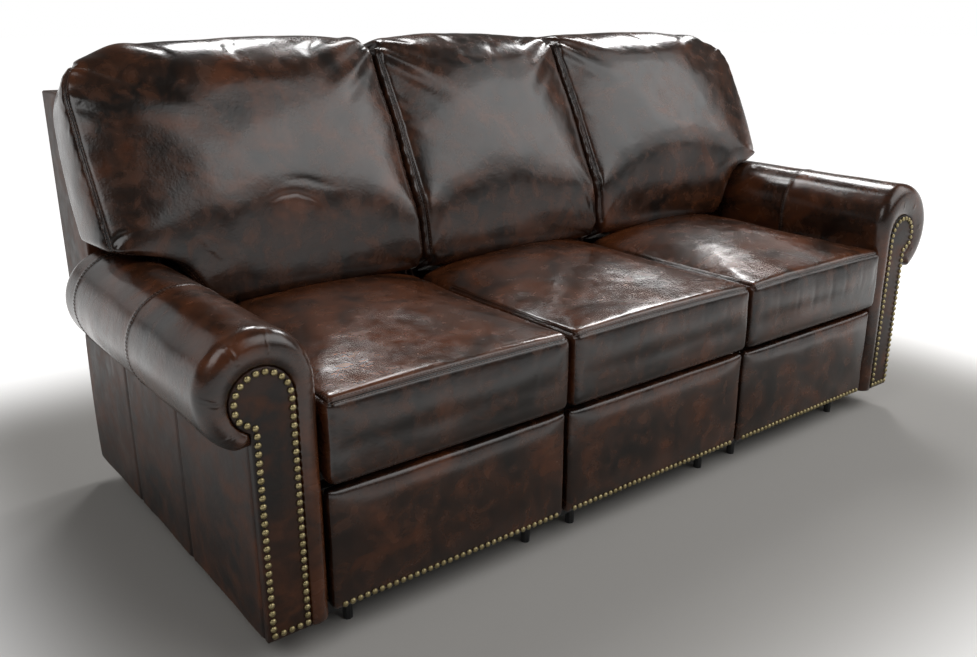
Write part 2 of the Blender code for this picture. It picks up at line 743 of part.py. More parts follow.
def back_frame(seat, carrier):
    """Two flat posts that hang on the hinge pins, joined by a round lumbar rail and a top rail."""
    top_y = REAR_Y - OUTSIDE_WALL - CONTACT
    top_z = OUTSIDE_TOP - OUTSIDE_WALL - CONTACT
    post_top = Vector((REAR_Y - POST_TOP_INSET, top_z - POST_WIDTH))
    inset = DRIVE_LAYER
    shapes = []
    for hand in HANDS:
        low, high = seat.layer(hand, inset, POST_THICKNESS)
        shapes.append(prism_along_x(bar_outline(HINGE, post_top, POST_WIDTH), low, high))
        reach = LINK_GAP + PLATE_THICKNESS
        shapes.append(pin_from(seat, hand, HINGE, HINGE_PIN_RADIUS, inset, reach))
    rail_low = seat.low + inset
    rail_high = seat.high - inset
    top_rail_low = (rail_low, post_top.x, top_z - BACK_RAIL_DEPTH)
    shapes.append(box(top_rail_low, (rail_high, top_y, top_z)))
    lumbar = HINGE + LUMBAR_RAIL_UP * (post_top - HINGE).normalized()
    half = POST_THICKNESS / 2
    shapes.append(rod_along_x(lumbar, LUMBAR_RAIL_RADIUS, rail_low + half, rail_high - half, TUBE_SIDES))
    piece(f"{seat.name}_back_frame", joined(shapes), STEEL, carrier)


def link_plate(seat, hand, start, end, inset):
    low, high = seat.layer(hand, inset, LINK_THICKNESS)
    return prism_along_x(bar_outline(start, end, LINK_WIDTH), low, high)


def link_hole(seat, hand, centre):
    low, high = seat.layer(hand, PLATE_INSET, LONG_LAYER)
    return rod_along_x(centre, HOLE_RADIUS, low, high)


def drive_link(seat, carrier):
    """Left and right drive arms on one torque tube, so that both sides of the footrest move together."""
    shapes = []
    holes = []
    for hand in HANDS:
        shapes.append(link_plate(seat, hand, DRIVE_PIVOT, DRIVE_END, DRIVE_LAYER))
        reach = LINK_GAP + PLATE_THICKNESS
        shapes.append(pin_from(seat, hand, DRIVE_PIVOT, LINK_PIN_RADIUS, DRIVE_LAYER, reach))
        holes.append(link_hole(seat, hand, DRIVE_END))
        holes.append(link_hole(seat, hand, SHORT_PIVOT))
    tube_centre = DRIVE_PIVOT + TORQUE_TUBE_ALONG * DRIVE_WAY
    inset = DRIVE_LAYER + LINK_THICKNESS / 2
    tube = rod_along_x(tube_centre, TORQUE_TUBE_RADIUS, seat.low + inset, seat.high - inset, TUBE_SIDES)
    piece(f"{seat.name}_drive_link", cut(joined(shapes + [tube]), holes), STEEL, carrier)


def rear_link(seat, hand, carrier):
    """The second arm of the first parallelogram."""
    reach = LINK_GAP + PLATE_THICKNESS
    pin = pin_from(seat, hand, REAR_PIVOT, LINK_PIN_RADIUS, DRIVE_LAYER, reach)
    plate = joined([link_plate(seat, hand, REAR_PIVOT, REAR_END, DRIVE_LAYER), pin])
    piece(f"{seat.name}_rear_link_{hand}", cut(plate, [link_hole(seat, hand, REAR_END)]), STEEL, carrier)


def long_link(seat, hand, carrier):
    """The coupler that carries the footrest: it joins both first arms and runs on to the footrest bracket."""
    reach = LINK_GAP + LINK_THICKNESS
    pins = []
    for centre in (REAR_END, DRIVE_END, FOOTREST_PIVOT):
        pins.append(pin_from(seat, hand, centre, LINK_PIN_RADIUS, LONG_LAYER, reach))
    plate = link_plate(seat, hand, REAR_END, FOOTREST_PIVOT, LONG_LAYER)
    piece(f"{seat.name}_long_link_{hand}", joined([plate] + pins), STEEL, carrier)


def short_link(seat, hand, carrier):
    """The upper arm of the second parallelogram, which turns the footrest flat as it opens."""
    reach = LINK_GAP + LINK_THICKNESS
    pins = []
    for centre in (SHORT_PIVOT, GUIDE_PIVOT):
        pins.append(pin_from(seat, hand, centre, LINK_PIN_RADIUS, LONG_LAYER, reach))
    plate = link_plate(seat, hand, SHORT_PIVOT, GUIDE_PIVOT, LONG_LAYER)
    piece(f"{seat.name}_short_link_{hand}", joined([plate] + pins), STEEL, carrier)


def footrest(seat, carrier):
    """The front panel: a leather pad on a timber board, with a steel bracket behind for the links."""
    low = seat.low + SIDE_GAP
    high = seat.high - SIDE_GAP
    pad_back = FRONT_Y + FOOTREST_PAD
    xs = stations_between(low, high, FOOTREST_EDGE, PANEL_CROSS_STEPS)
    ys = [FRONT_Y, pad_back]
    zs = stations_between(FOOTREST_BOTTOM, FOOTREST_TOP, FOOTREST_EDGE, PANEL_HIGH_STEPS)

    def place(i, j, k):
        x, y, z = xs[i], ys[j], zs[k]
        if j == 0:
            fullness = bulge(x, low, high) * bulge(z, FOOTREST_BOTTOM, FOOTREST_TOP)
            y += FOOTREST_CROWN * (1.0 - 2.0 * fullness)
        return x, y, z

    pad = padded_form((xs, ys, zs), lambda i, j, k: True, place, lambda i, j, k: j == 1)
    piece(f"{seat.name}_footrest_pad", pad, LEATHER, carrier)

    board_front = pad_back + CONTACT
    board_back = board_front + BOARD_THICKNESS
    board = box(
        (low + BOARD_MARGIN, board_front, FOOTREST_BOTTOM + BOARD_MARGIN),
        (high - BOARD_MARGIN, board_back, FOOTREST_TOP - BOARD_MARGIN),
    )
    piece(f"{seat.name}_footrest_board", board, TIMBER, carrier)

    strap_front = board_back + CONTACT
    strap_back = strap_front + BRACKET_PLATE
    strap_middle = (FOOTREST_PIVOT.y + GUIDE_PIVOT.y) / 2
    strap = box(
        (seat.low + DRIVE_LAYER, strap_front, strap_middle - BRACKET_STRAP_HEIGHT / 2),
        (seat.high - DRIVE_LAYER, strap_back, strap_middle + BRACKET_STRAP_HEIGHT / 2),
    )
    shapes = [strap]
    holes = []
    half = LINK_WIDTH / 2
    for hand in HANDS:
        ear_low, ear_high = seat.layer(hand, DRIVE_LAYER, LINK_THICKNESS)
        ear = [
            (strap_front, FOOTREST_PIVOT.y - half),
            (FOOTREST_PIVOT.x, FOOTREST_PIVOT.y - half),
            (FOOTREST_PIVOT.x + half, FOOTREST_PIVOT.y),
            (GUIDE_PIVOT.x + half, GUIDE_PIVOT.y),
            (GUIDE_PIVOT.x, GUIDE_PIVOT.y + half),
            (strap_front, GUIDE_PIVOT.y + half),
        ]
        shapes.append(prism_along_x(ear, ear_low, ear_high))
        holes.append(link_hole(seat, hand, FOOTREST_PIVOT))
        holes.append(link_hole(seat, hand, GUIDE_PIVOT))
    piece(f"{seat.name}_footrest_bracket", cut(joined(shapes), holes), STEEL, carrier)


def recliner(seat):
    """One seat with its reclining back and its footrest, each carried by empties on the joints' axes."""
    seat_frame(seat)
    seat_webbing(seat)
    seat_cushion(seat)

    hinge = pivot(f"{seat.name}_hinge_axis", (seat.middle, *HINGE))
    back_frame(seat, hinge)
    outside_back(seat, hinge)
    back_cushion(seat, hinge)

    drive_axis = pivot(f"{seat.name}_drive_axis", (seat.middle, *DRIVE_PIVOT))
    rear_axis = pivot(f"{seat.name}_rear_axis", (seat.middle, *REAR_PIVOT))
    long_axis = pivot(f"{seat.name}_long_axis", (seat.middle, *DRIVE_END), drive_axis)
    short_axis = pivot(f"{seat.name}_short_axis", (seat.middle, *SHORT_PIVOT), drive_axis)
    footrest_axis = pivot(f"{seat.name}_footrest_axis", (seat.middle, *FOOTREST_PIVOT), long_axis)
    drive_link(seat, drive_axis)
    for hand in HANDS:
        rear_link(seat, hand, rear_axis)
        long_link(seat, hand, long_axis)
        short_link(seat, hand, short_axis)
    footrest(seat, footrest_axis)


clear_scene()
base_rail("front_base_rail", FRONT_RAIL_BACK)
base_rail("rear_base_rail", REAR_RAIL_BACK)
for arm_side in (-1, 1):
    arm(arm_side)
for each_seat in SEATS:
    recliner(each_seat)
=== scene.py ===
"""A three-seat leather reclining sofa with rolled arms and nail-head trim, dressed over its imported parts."""

import json
import math

import bpy
import numpy as np
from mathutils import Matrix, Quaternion, Vector, kdtree, noise


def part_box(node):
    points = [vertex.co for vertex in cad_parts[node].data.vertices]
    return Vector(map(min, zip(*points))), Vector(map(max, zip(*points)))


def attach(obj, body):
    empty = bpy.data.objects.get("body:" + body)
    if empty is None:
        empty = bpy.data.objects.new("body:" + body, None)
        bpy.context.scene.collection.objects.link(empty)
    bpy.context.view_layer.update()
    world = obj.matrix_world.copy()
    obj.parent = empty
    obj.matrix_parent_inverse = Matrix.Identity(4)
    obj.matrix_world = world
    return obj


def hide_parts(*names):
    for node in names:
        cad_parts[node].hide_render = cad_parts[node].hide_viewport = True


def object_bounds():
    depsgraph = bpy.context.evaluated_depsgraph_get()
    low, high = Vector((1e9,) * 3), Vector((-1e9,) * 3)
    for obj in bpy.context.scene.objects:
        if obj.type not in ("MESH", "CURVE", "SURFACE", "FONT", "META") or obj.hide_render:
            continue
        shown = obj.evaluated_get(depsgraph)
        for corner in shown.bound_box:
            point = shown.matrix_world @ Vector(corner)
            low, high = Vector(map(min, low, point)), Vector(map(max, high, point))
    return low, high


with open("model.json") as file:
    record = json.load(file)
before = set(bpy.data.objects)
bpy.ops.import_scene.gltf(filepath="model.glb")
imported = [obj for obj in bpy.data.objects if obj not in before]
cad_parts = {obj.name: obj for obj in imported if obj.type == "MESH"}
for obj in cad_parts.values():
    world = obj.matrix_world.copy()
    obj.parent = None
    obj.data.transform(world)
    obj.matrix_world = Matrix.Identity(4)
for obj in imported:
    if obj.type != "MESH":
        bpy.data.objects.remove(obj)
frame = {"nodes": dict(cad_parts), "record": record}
cad_low, cad_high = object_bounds()
scene = bpy.context.scene
scene.view_settings.view_transform = "Standard"


# The studio: a pale floor with a painted shadow round the sofa, walls that pale towards it, three small lights
# above and behind the seats, a broad one with a brighter middle in front on the right, two weak ones on the
# left, and the camera at the left.
CAMERA_PLACE = (-1.5448, -1.7862, 1.1018)
CAMERA_HEADING = 38.10
CAMERA_PITCH = 18.40
CAMERA_LENS = 34.34
FLOOR_REACH = 60.0
# each lamp's place, aim, width and length, power and roll in degrees
LAMPS = {
    "rear_light": ((0.22, 1.76, 2.70), (-0.30, -0.10, 0.50), (0.5, 0.8), 22.0, 0.0),
    "rear_middle_light": ((0.72, 1.20, 2.70), (0.00, -0.20, 0.50), (0.4, 0.7), 11.0, 0.0),
    "rear_right_light": ((2.42, 1.08, 2.70), (1.00, -0.20, 0.60), (0.6, 1.1), 38.0, 0.0),
    "front_light": ((2.05, -2.45, 3.25), (-0.10, 0.10, 0.75), (5.8, 3.4), 95.0, -13.0),
    "front_fill_light": ((2.05, -2.45, 3.20), (-0.10, 0.10, 0.75), (4.4, 2.0), 48.0, -13.0),
    "front_left_light": ((-2.6, -1.00, 2.60), (-0.90, 0.00, 0.50), (1.4, 1.4), 22.0, 0.0),
    "rear_left_light": ((-2.0, 4.50, 2.30), (-0.90, 0.00, 0.60), (3.0, 1.4), 7.0, 0.0),
}

camera = bpy.data.objects.new("camera", bpy.data.cameras.new("camera"))
camera.location = CAMERA_PLACE
camera.rotation_euler = (math.radians(90.0 - CAMERA_PITCH), 0.0, math.radians(-CAMERA_HEADING))
camera.data.lens = CAMERA_LENS
scene.collection.objects.link(camera)
scene.camera = camera

for lamp_name, (place, aim, size, power, roll) in LAMPS.items():
    lamp = bpy.data.objects.new(lamp_name, bpy.data.lights.new(lamp_name, "AREA"))
    lamp.data.shape = "RECTANGLE"
    lamp.data.size, lamp.data.size_y = size
    lamp.data.energy = power
    lamp.location = place
    aimed = (Vector(aim) - Vector(place)).to_track_quat("-Z", "Y")
    lamp.rotation_euler = (aimed @ Quaternion((0.0, 0.0, 1.0), math.radians(roll))).to_euler()
    scene.collection.objects.link(lamp)


def linear(hex_colour):
    """Linear RGBA from an sRGB hex colour."""
    shares = [int(hex_colour[at : at + 2], 16) / 255.0 for at in (1, 3, 5)]
    return [s / 12.92 if s <= 0.04045 else ((s + 0.055) / 1.055) ** 2.4 for s in shares] + [1.0]


def add_node(tree, kind, inputs=(), **settings):
    """Adds a node with its settings; each input takes a value, or a link from another node's output."""
    made = tree.nodes.new(kind)
    for name, value in settings.items():
        setattr(made, name, value)
    for name, value in dict(inputs).items():
        if isinstance(value, bpy.types.NodeSocket):
            tree.links.new(value, made.inputs[name])
        else:
            made.inputs[name].default_value = value
    return made


ROOM_COLOUR = "#5C5A58"
HORIZON_TOP = math.sin(math.radians(2.5))
ROOM_LOW = math.sin(math.radians(12.0))
world = bpy.data.worlds.new("studio")
world.use_nodes = True
tree = world.node_tree
tree.nodes.clear()
way = add_node(tree, "ShaderNodeSeparateXYZ", {0: add_node(tree, "ShaderNodeTexCoord").outputs["Generated"]})
rise = {"Value": way.outputs["Z"], "From Min": HORIZON_TOP, "From Max": ROOM_LOW}
rise = add_node(tree, "ShaderNodeMapRange", rise, interpolation_type="SMOOTHSTEP")
room = {"Factor": rise.outputs[0], "A": (1.0, 1.0, 1.0, 1.0), "B": linear(ROOM_COLOUR)}
room = add_node(tree, "ShaderNodeMix", room, data_type="RGBA")
room = add_node(tree, "ShaderNodeBackground", {"Color": room.outputs["Result"]})
add_node(tree, "ShaderNodeOutputWorld", {"Surface": room.outputs[0]})
scene.world = world

# Away from the sofa the floor glows white for camera, glossy and transmission rays. In a box a little larger
# than the sofa the glow fades out: a painted shadow, seen on the floor and in the leather's reflections, over
# the real shadow in the diffuse paint.
FLOOR_COLOUR = "#A19F9C"
FLOOR_GLOW = 1.0
PAINTED_SHADOW_EDGE = 0.84
PAINTED_SHADOW_CENTRE = (0.06, -0.02)
PAINTED_SHADOW_HALF = (1.10, 0.80)
floor_paint = bpy.data.materials.new("pale_floor_with_painted_shadow")
floor_paint.use_nodes = True
tree = floor_paint.node_tree
tree.nodes.clear()
rays = add_node(tree, "ShaderNodeLightPath")
where = add_node(tree, "ShaderNodeTexCoord").outputs["Object"]
sides = add_node(tree, "ShaderNodeVectorMath", {0: where, 1: (*PAINTED_SHADOW_CENTRE, 0.0)}, operation="SUBTRACT")
sides = add_node(tree, "ShaderNodeVectorMath", {0: sides.outputs[0]}, operation="ABSOLUTE")
past = {0: sides.outputs[0], 1: (*PAINTED_SHADOW_HALF, 0.0)}
past = add_node(tree, "ShaderNodeVectorMath", past, operation="SUBTRACT")
past = add_node(tree, "ShaderNodeVectorMath", {0: past.outputs[0], 1: (0.0, 0.0, 0.0)}, operation="MAXIMUM")
past = add_node(tree, "ShaderNodeVectorMath", {0: past.outputs[0]}, operation="LENGTH")
glow_past_painted_shadow = {"Value": past.outputs["Value"], "From Max": PAINTED_SHADOW_EDGE, "To Max": FLOOR_GLOW}
glow_past_painted_shadow = add_node(tree, "ShaderNodeMapRange", glow_past_painted_shadow, interpolation_type="SMOOTHERSTEP")
seen = {0: rays.outputs["Is Camera Ray"], 1: rays.outputs["Is Glossy Ray"]}
seen = {0: add_node(tree, "ShaderNodeMath", seen).outputs[0], 1: rays.outputs["Is Transmission Ray"]}
seen = add_node(tree, "ShaderNodeMath", seen, use_clamp=True)
glow = {0: seen.outputs[0], 1: glow_past_painted_shadow.outputs[0]}
glow = add_node(tree, "ShaderNodeMath", glow, operation="MULTIPLY")
paint = add_node(tree, "ShaderNodeBsdfDiffuse", {"Color": linear(FLOOR_COLOUR)})
white = add_node(tree, "ShaderNodeEmission", {"Color": (1.0, 1.0, 1.0, 1.0), "Strength": glow.outputs[0]})
both = add_node(tree, "ShaderNodeAddShader", {0: paint.outputs[0], 1: white.outputs[0]})
add_node(tree, "ShaderNodeOutputMaterial", {"Surface": both.outputs[0]})
floor_mesh = bpy.data.meshes.new("floor")
floor_rim = [(x * FLOOR_REACH, y * FLOOR_REACH, 0.0) for x, y in ((-1, -1), (1, -1), (1, 1), (-1, 1))]
floor_mesh.from_pydata(floor_rim, [], [(0, 1, 2, 3)])
floor_mesh.materials.append(floor_paint)
floor = bpy.data.objects.new("floor", floor_mesh)
scene.collection.objects.link(floor)


# The base rails with their screwed-in feet, the seat and back frames and every link of the footrest mechanism
# are pressed steel with a black powder coat: a satin skin with the faint orange peel of baked powder.
POWDER_COAT = "#151516"
ORANGE_PEEL = 0.003
SCUFF_SIZE = 0.06
steel = bpy.data.materials.new("powder_coated_steel")
steel.use_nodes = True
tree = steel.node_tree
shader = tree.nodes["Principled BSDF"]
shader.inputs["Base Color"].default_value = linear(POWDER_COAT)
where = add_node(tree, "ShaderNodeTexCoord").outputs["Object"]
scuffs = add_node(tree, "ShaderNodeTexNoise", {"Vector": where, "Scale": 1 / SCUFF_SIZE, "Detail": 4.0})
peel = add_node(tree, "ShaderNodeTexNoise", {"Vector": where, "Scale": 1 / ORANGE_PEEL, "Detail": 1.0})
satin = add_node(tree, "ShaderNodeMapRange", {"Value": scuffs.outputs["Fac"], "To Min": 0.36, "To Max": 0.58})
skin = add_node(tree, "ShaderNodeBump", {"Height": peel.outputs["Fac"], "Strength": 0.15, "Distance": 0.0004})
tree.links.new(satin.outputs[0], shader.inputs["Roughness"])
tree.links.new(skin.outputs[0], shader.inputs["Normal"])


# The arm carcasses and the boards inside the footrests are sawn softwood and plywood, bare: pale yellow brown
# with darker lines of grain along the length of the sofa.
TIMBER_PALE = "#C49A66"
TIMBER_DARK = "#9A6F40"
GRAIN_SPACING = 0.012
GRAIN_LENGTH = 0.25
timber = bpy.data.materials.new("sawn_softwood")
timber.use_nodes = True
tree = timber.node_tree
shader = tree.nodes["Principled BSDF"]
shader.inputs["Roughness"].default_value = 0.72
where = add_node(tree, "ShaderNodeTexCoord").outputs["Object"]
lengthwise = (1 / GRAIN_LENGTH, 1 / GRAIN_SPACING, 1 / GRAIN_SPACING)
drawn = add_node(tree, "ShaderNodeMapping", {"Vector": where, "Scale": lengthwise})
rings = {"Vector": drawn.outputs[0], "Scale": 1.0, "Detail": 5.0, "Distortion": 0.6}
grain = add_node(tree, "ShaderNodeTexNoise", rings)
tones = {"Factor": grain.outputs["Fac"], "A": linear(TIMBER_PALE), "B": linear(TIMBER_DARK)}
tones = add_node(tree, "ShaderNodeMix", tones, data_type="RGBA")
saw = add_node(tree, "ShaderNodeBump", {"Height": grain.outputs["Fac"], "Strength": 0.3, "Distance": 0.0006})
tree.links.new(tones.outputs["Result"], shader.inputs["Base Color"])
tree.links.new(saw.outputs[0], shader.inputs["Normal"])


# The seat suspension is elastic webbing, a heavy black and brown weave stretched over the seat frame.
WEBBING_DARK = "#1C1917"
WEBBING_STRIPE = "#5A4634"
WEAVE_PITCH = 0.004
STRIPE_PITCH = 0.025
webbing = bpy.data.materials.new("elastic_webbing")
webbing.use_nodes = True
tree = webbing.node_tree
shader = tree.nodes["Principled BSDF"]
shader.inputs["Roughness"].default_value = 0.85
where = add_node(tree, "ShaderNodeTexCoord").outputs["Object"]
weave = add_node(tree, "ShaderNodeTexChecker", {"Vector": where, "Scale": 1 / WEAVE_PITCH})
stripe = add_node(tree, "ShaderNodeTexChecker", {"Vector": where, "Scale": 1 / STRIPE_PITCH})
tones = {"Factor": stripe.outputs["Fac"], "A": linear(WEBBING_DARK), "B": linear(WEBBING_STRIPE)}
tones = add_node(tree, "ShaderNodeMix", tones, data_type="RGBA")
rib = add_node(tree, "ShaderNodeBump", {"Height": weave.outputs["Fac"], "Strength": 0.5, "Distance": 0.0008})
tree.links.new(tones.outputs["Result"], shader.inputs["Base Color"])
tree.links.new(rib.outputs[0], shader.inputs["Normal"])

FINISHES = {"black_steel": steel, "timber": timber, "webbing": webbing}
for row in frame["record"]["subparts"]:
    if row["material_slot"] in FINISHES:
        frame["nodes"][row["node"]].data.materials.clear()
        frame["nodes"][row["node"]].data.materials.append(FINISHES[row["material_slot"]])


# The hide is corrected-grain cow leather, dyed dark brown and hand-rubbed, so that near-black clouds lie over
# a rust ground; a sprayed finish coat gives it a broad sheen, broken by fine creases and pebble grain.
HIDE_BLACK = "#140D09"
HIDE_BROWN = "#2E1B11"
HIDE_RUST = "#522C17"
HIDE_RUBBED = "#683C22"
# each panel's number, by which its part of the pattern is moved a step on, so that no two look alike
HIDES = {"arm": 11, "side": 21, "facing": 31, "footrest": 41, "seat": 51, "back": 61, "outside": 71}
HIDE_STEP = (1.7, 2.9, 0.8)
CLOUD_SIZE = 0.14
PATCH_SIZE = 0.040
RUB_LENGTH = 0.060
RUB_WIDTH = 0.025
CREASE_SIZE = 0.014
PEBBLE_SIZE = 0.0045
SEAM_REACH = 0.020
# heights across a sewn seam by nearness, 1 on the seam and 0 at its reach: a dip under each row of stitches
SEWN_HEIGHTS = ((0.72, 1.0), (0.79, 0.5), (0.85, 1.0), (0.90, 0.95))
leather = bpy.data.materials.new("antiqued_leather")
leather.use_nodes = True
tree = leather.node_tree
shader = tree.nodes["Principled BSDF"]
where = add_node(tree, "ShaderNodeTexCoord").outputs["Object"]
hide = add_node(tree, "ShaderNodeAttribute", attribute_name="hide").outputs["Fac"]
step = add_node(tree, "ShaderNodeVectorMath", {0: HIDE_STEP, "Scale": hide}, operation="SCALE")
cut = add_node(tree, "ShaderNodeVectorMath", {0: where, 1: step.outputs[0]}, operation="ADD").outputs[0]
clouds = {"Vector": cut, "Scale": 1 / CLOUD_SIZE, "Detail": 4.0, "Roughness": 0.55, "Distortion": 0.8}
clouds = add_node(tree, "ShaderNodeTexNoise", clouds)
patches = {"Vector": cut, "Scale": 1 / PATCH_SIZE, "Detail": 3.0, "Roughness": 0.5, "Distortion": 0.4}
patches = add_node(tree, "ShaderNodeTexNoise", patches)
stroke = (1 / RUB_LENGTH, 1 / RUB_WIDTH, 1 / RUB_WIDTH)
drawn = add_node(tree, "ShaderNodeMapping", {"Vector": cut, "Scale": stroke})
rubs = {"Vector": drawn.outputs[0], "Scale": 1.0, "Detail": 3.0, "Distortion": 1.2}
rubs = add_node(tree, "ShaderNodeTexNoise", rubs)
# each piece's value moves it along the ramp: partly its own dye, partly painted light on the seat tops and
# rolls, and painted shade on the fronts, sides, facings and backs
dye_and_light = add_node(tree, "ShaderNodeAttribute", attribute_name="dye_and_light").outputs["Fac"]
depth = add_node(tree, "ShaderNodeMath", {0: clouds.outputs["Fac"], 1: dye_and_light})
ground = add_node(tree, "ShaderNodeValToRGB", {"Fac": depth.outputs[0]})
ramp = ground.color_ramp
ramp.elements[0].position, ramp.elements[0].color = 0.34, linear(HIDE_BLACK)
ramp.elements[1].position, ramp.elements[1].color = 0.72, linear(HIDE_RUST)
ramp.elements.new(0.50).color = linear(HIDE_BROWN)
spots = {"Value": patches.outputs["Fac"], "From Min": 0.48, "From Max": 0.78, "To Max": 0.36}
spots = add_node(tree, "ShaderNodeMapRange", spots)
rusty = {"Factor": spots.outputs[0], "A": ground.outputs["Color"], "B": linear(HIDE_RUBBED)}
rusty = add_node(tree, "ShaderNodeMix", rusty, data_type="RGBA")
dark = {"Value": rubs.outputs["Fac"], "From Min": 0.48, "From Max": 0.72, "To Max": 0.42}
dark = add_node(tree, "ShaderNodeMapRange", dark)
rubbed = {"Factor": dark.outputs[0], "A": rusty.outputs["Result"], "B": linear(HIDE_BLACK)}
rubbed = add_node(tree, "ShaderNodeMix", rubbed, data_type="RGBA")
# darker towards the seams, blending up to half way to black: painted shade in the seam grooves, and dye
# settled along them
seam = add_node(tree, "ShaderNodeAttribute", attribute_name="seam").outputs["Fac"]
seam_shade_and_dye = {"Value": seam, "From Min": 0.40, "From Max": 0.95, "To Max": 0.5}
seam_shade_and_dye = add_node(tree, "ShaderNodeMapRange", seam_shade_and_dye, interpolation_type="SMOOTHSTEP")
seam_shaded = {"Factor": seam_shade_and_dye.outputs[0], "A": rubbed.outputs["Result"], "B": linear(HIDE_BLACK)}
seam_shaded = add_node(tree, "ShaderNodeMix", seam_shaded, data_type="RGBA")
creases = {"Vector": cut, "Scale": 1 / CREASE_SIZE, "Detail": 2.0, "Roughness": 0.5, "Distortion": 0.3}
creases = add_node(tree, "ShaderNodeTexNoise", creases)
pebble = {"Vector": cut, "Scale": 1 / PEBBLE_SIZE}
pebble = add_node(tree, "ShaderNodeTexVoronoi", pebble, feature="SMOOTH_F1")
gloss = {"Value": patches.outputs["Fac"], "From Min": 0.3, "From Max": 0.7, "To Min": 0.18, "To Max": 0.30}
gloss = add_node(tree, "ShaderNodeMapRange", gloss)
sewn = add_node(tree, "ShaderNodeValToRGB", {"Fac": seam})
ramp = sewn.color_ramp
ramp.elements[0].color = (1.0, 1.0, 1.0, 1.0)
ramp.elements[1].position, ramp.elements[1].color = 0.97, (0.0, 0.0, 0.0, 1.0)
for place, height in SEWN_HEIGHTS:
    ramp.elements.new(place).color = (height, height, height, 1.0)
sewn = {"Height": sewn.outputs["Color"], "Strength": 0.6, "Distance": 0.0014}
sewn = add_node(tree, "ShaderNodeBump", sewn)
fold = {"Height": creases.outputs["Fac"], "Strength": 0.25, "Distance": 0.0014}
fold = add_node(tree, "ShaderNodeBump", {**fold, "Normal": sewn.outputs[0]})
grain = {"Height": pebble.outputs["Distance"], "Strength": 0.25, "Distance": 0.0005}
grain = add_node(tree, "ShaderNodeBump", {**grain, "Normal": fold.outputs[0]})
tree.links.new(seam_shaded.outputs["Result"], shader.inputs["Base Color"])
tree.links.new(gloss.outputs[0], shader.inputs["Roughness"])
tree.links.new(grain.outputs[0], shader.inputs["Normal"])
shader.inputs["IOR"].default_value = 1.42
shader.inputs["Coat Weight"].default_value = 0.15
shader.inputs["Coat Roughness"].default_value = 0.10

# The side panels, facings and outside backs are split leather with the same dye and a duller embossed finish.
SPLIT_DULL = (0.42, 0.55)
split = leather.copy()
split.name = "embossed_split_leather"
shader = split.node_tree.nodes["Principled BSDF"]
shader.inputs["IOR"].default_value = 1.36
shader.inputs["Coat Weight"].default_value = 0.0
dull = split.node_tree.nodes[gloss.name]
dull.inputs["To Min"].default_value, dull.inputs["To Max"].default_value = SPLIT_DULL


# Each rolled arm is a padded cover nailed to a timber carcass: the leather comes up the inner wall, over the
# roll and under it, and at the front it is gathered in pleats round the facing. Two sewn joins cross it.
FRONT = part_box("right_arm_facing")[0].y
ARM_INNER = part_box("right_arm_cover")[0].x
ARM_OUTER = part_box("right_arm_side_panel")[1].x
ARM_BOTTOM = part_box("right_arm_cover")[0].z
ARM_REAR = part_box("right_arm_cover")[1].y
ARM_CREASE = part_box("right_arm_side_panel")[1].z
ARM_WALL = 0.033
WALL_LAP = 0.010
ARM_REAR_TOP = 0.384
ROLL_RADIUS = 0.104
ROLL_CENTRE = (ARM_INNER + ROLL_RADIUS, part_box("right_arm_cover")[1].z - ROLL_RADIUS)
ROLL_END = 0.270
ROLL_END_ROUND = 0.016
ROLL_TUCK = -62.0
CREASE_TUCK = 0.004
CREASE_LIFT = 0.001
FACING_CENTRE = (0.975, 0.517)
FACING_RADIUS = 0.058
FACING_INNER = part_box("right_arm_facing")[0].x
FACING_THICK = 0.0145
BORDER_DEPTH = 0.034
BORDER_PROUD = 0.005
BORDER_SWEEP = 125.0
ARM_JOINS = (-0.140, 0.190)
PLEATS = (-45.0, -41.0, 4.0, 8.0, 59.0, 62.0, 100.0, 183.0)
PLEAT_DEPTH = 0.0014
PLEAT_WIDTH = 0.0024
ARM_UNEVEN = 0.0016
ARM_UNEVEN_SIZE = 0.11
ARM_JOIN_DEPTH = 0.0014
# the arm cover's colour shift, partly dye and partly painted light on the roll
ARM_DYE_AND_LIGHT = 0.02
# how far the padding swells each roll, at its front and at its rear
ROLL_PUFF = {"left_arm": (0.003, 0.003), "right_arm": (0.028, 0.032)}
SIDES = ((-1, "left_arm"), (1, "right_arm"))


def piece_of(name, corners, faces, hides, material, tones=0.0):
    """A new smooth-shaded piece; hides numbers the panel of leather that each face is cut from, and tones
    makes it
    redder or, below 0, blacker: partly its dye, partly painted light on tops and painted shade on fronts and
    sides."""
    mesh = bpy.data.meshes.new(name)
    mesh.from_pydata(np.asarray(corners).tolist(), [], [list(map(int, face)) for face in faces])
    mesh.polygons.foreach_set("use_smooth", [True] * len(mesh.polygons))
    for label, values in (("hide", hides), ("dye_and_light", tones)):
        panel = mesh.attributes.new(label, "FLOAT", "FACE")
        values = np.broadcast_to(np.asarray(values, np.float32), len(mesh.polygons))
        panel.data.foreach_set("value", values.copy())
    mesh.materials.append(material)
    made = bpy.data.objects.new(name, mesh)
    scene.collection.objects.link(made)
    return made


def read(made, name):
    """Each corner's place (co) or outward way (normal), as rows."""
    values = np.empty(len(made.data.vertices) * 3, np.float32)
    made.data.vertices.foreach_get(name, values)
    return values.reshape(-1, 3).astype(float)


def put(made, spots):
    """Moves each corner to its place."""
    made.data.vertices.foreach_set("co", np.asarray(spots, np.float32).ravel())
    made.data.update()


def push(made, amounts):
    """Moves each corner outwards by its amount."""
    put(made, read(made, "co") + read(made, "normal") * np.asarray(amounts)[:, None])


def refined(made):
    """The piece with one more subdivision, as a plain mesh whose first corners are the old ones."""
    smoother = made.modifiers.new("smooth", "SUBSURF")
    smoother.levels = 1
    graph = bpy.context.evaluated_depsgraph_get()
    mesh = bpy.data.meshes.new_from_object(made.evaluated_get(graph))
    made.modifiers.clear()
    made.data = mesh


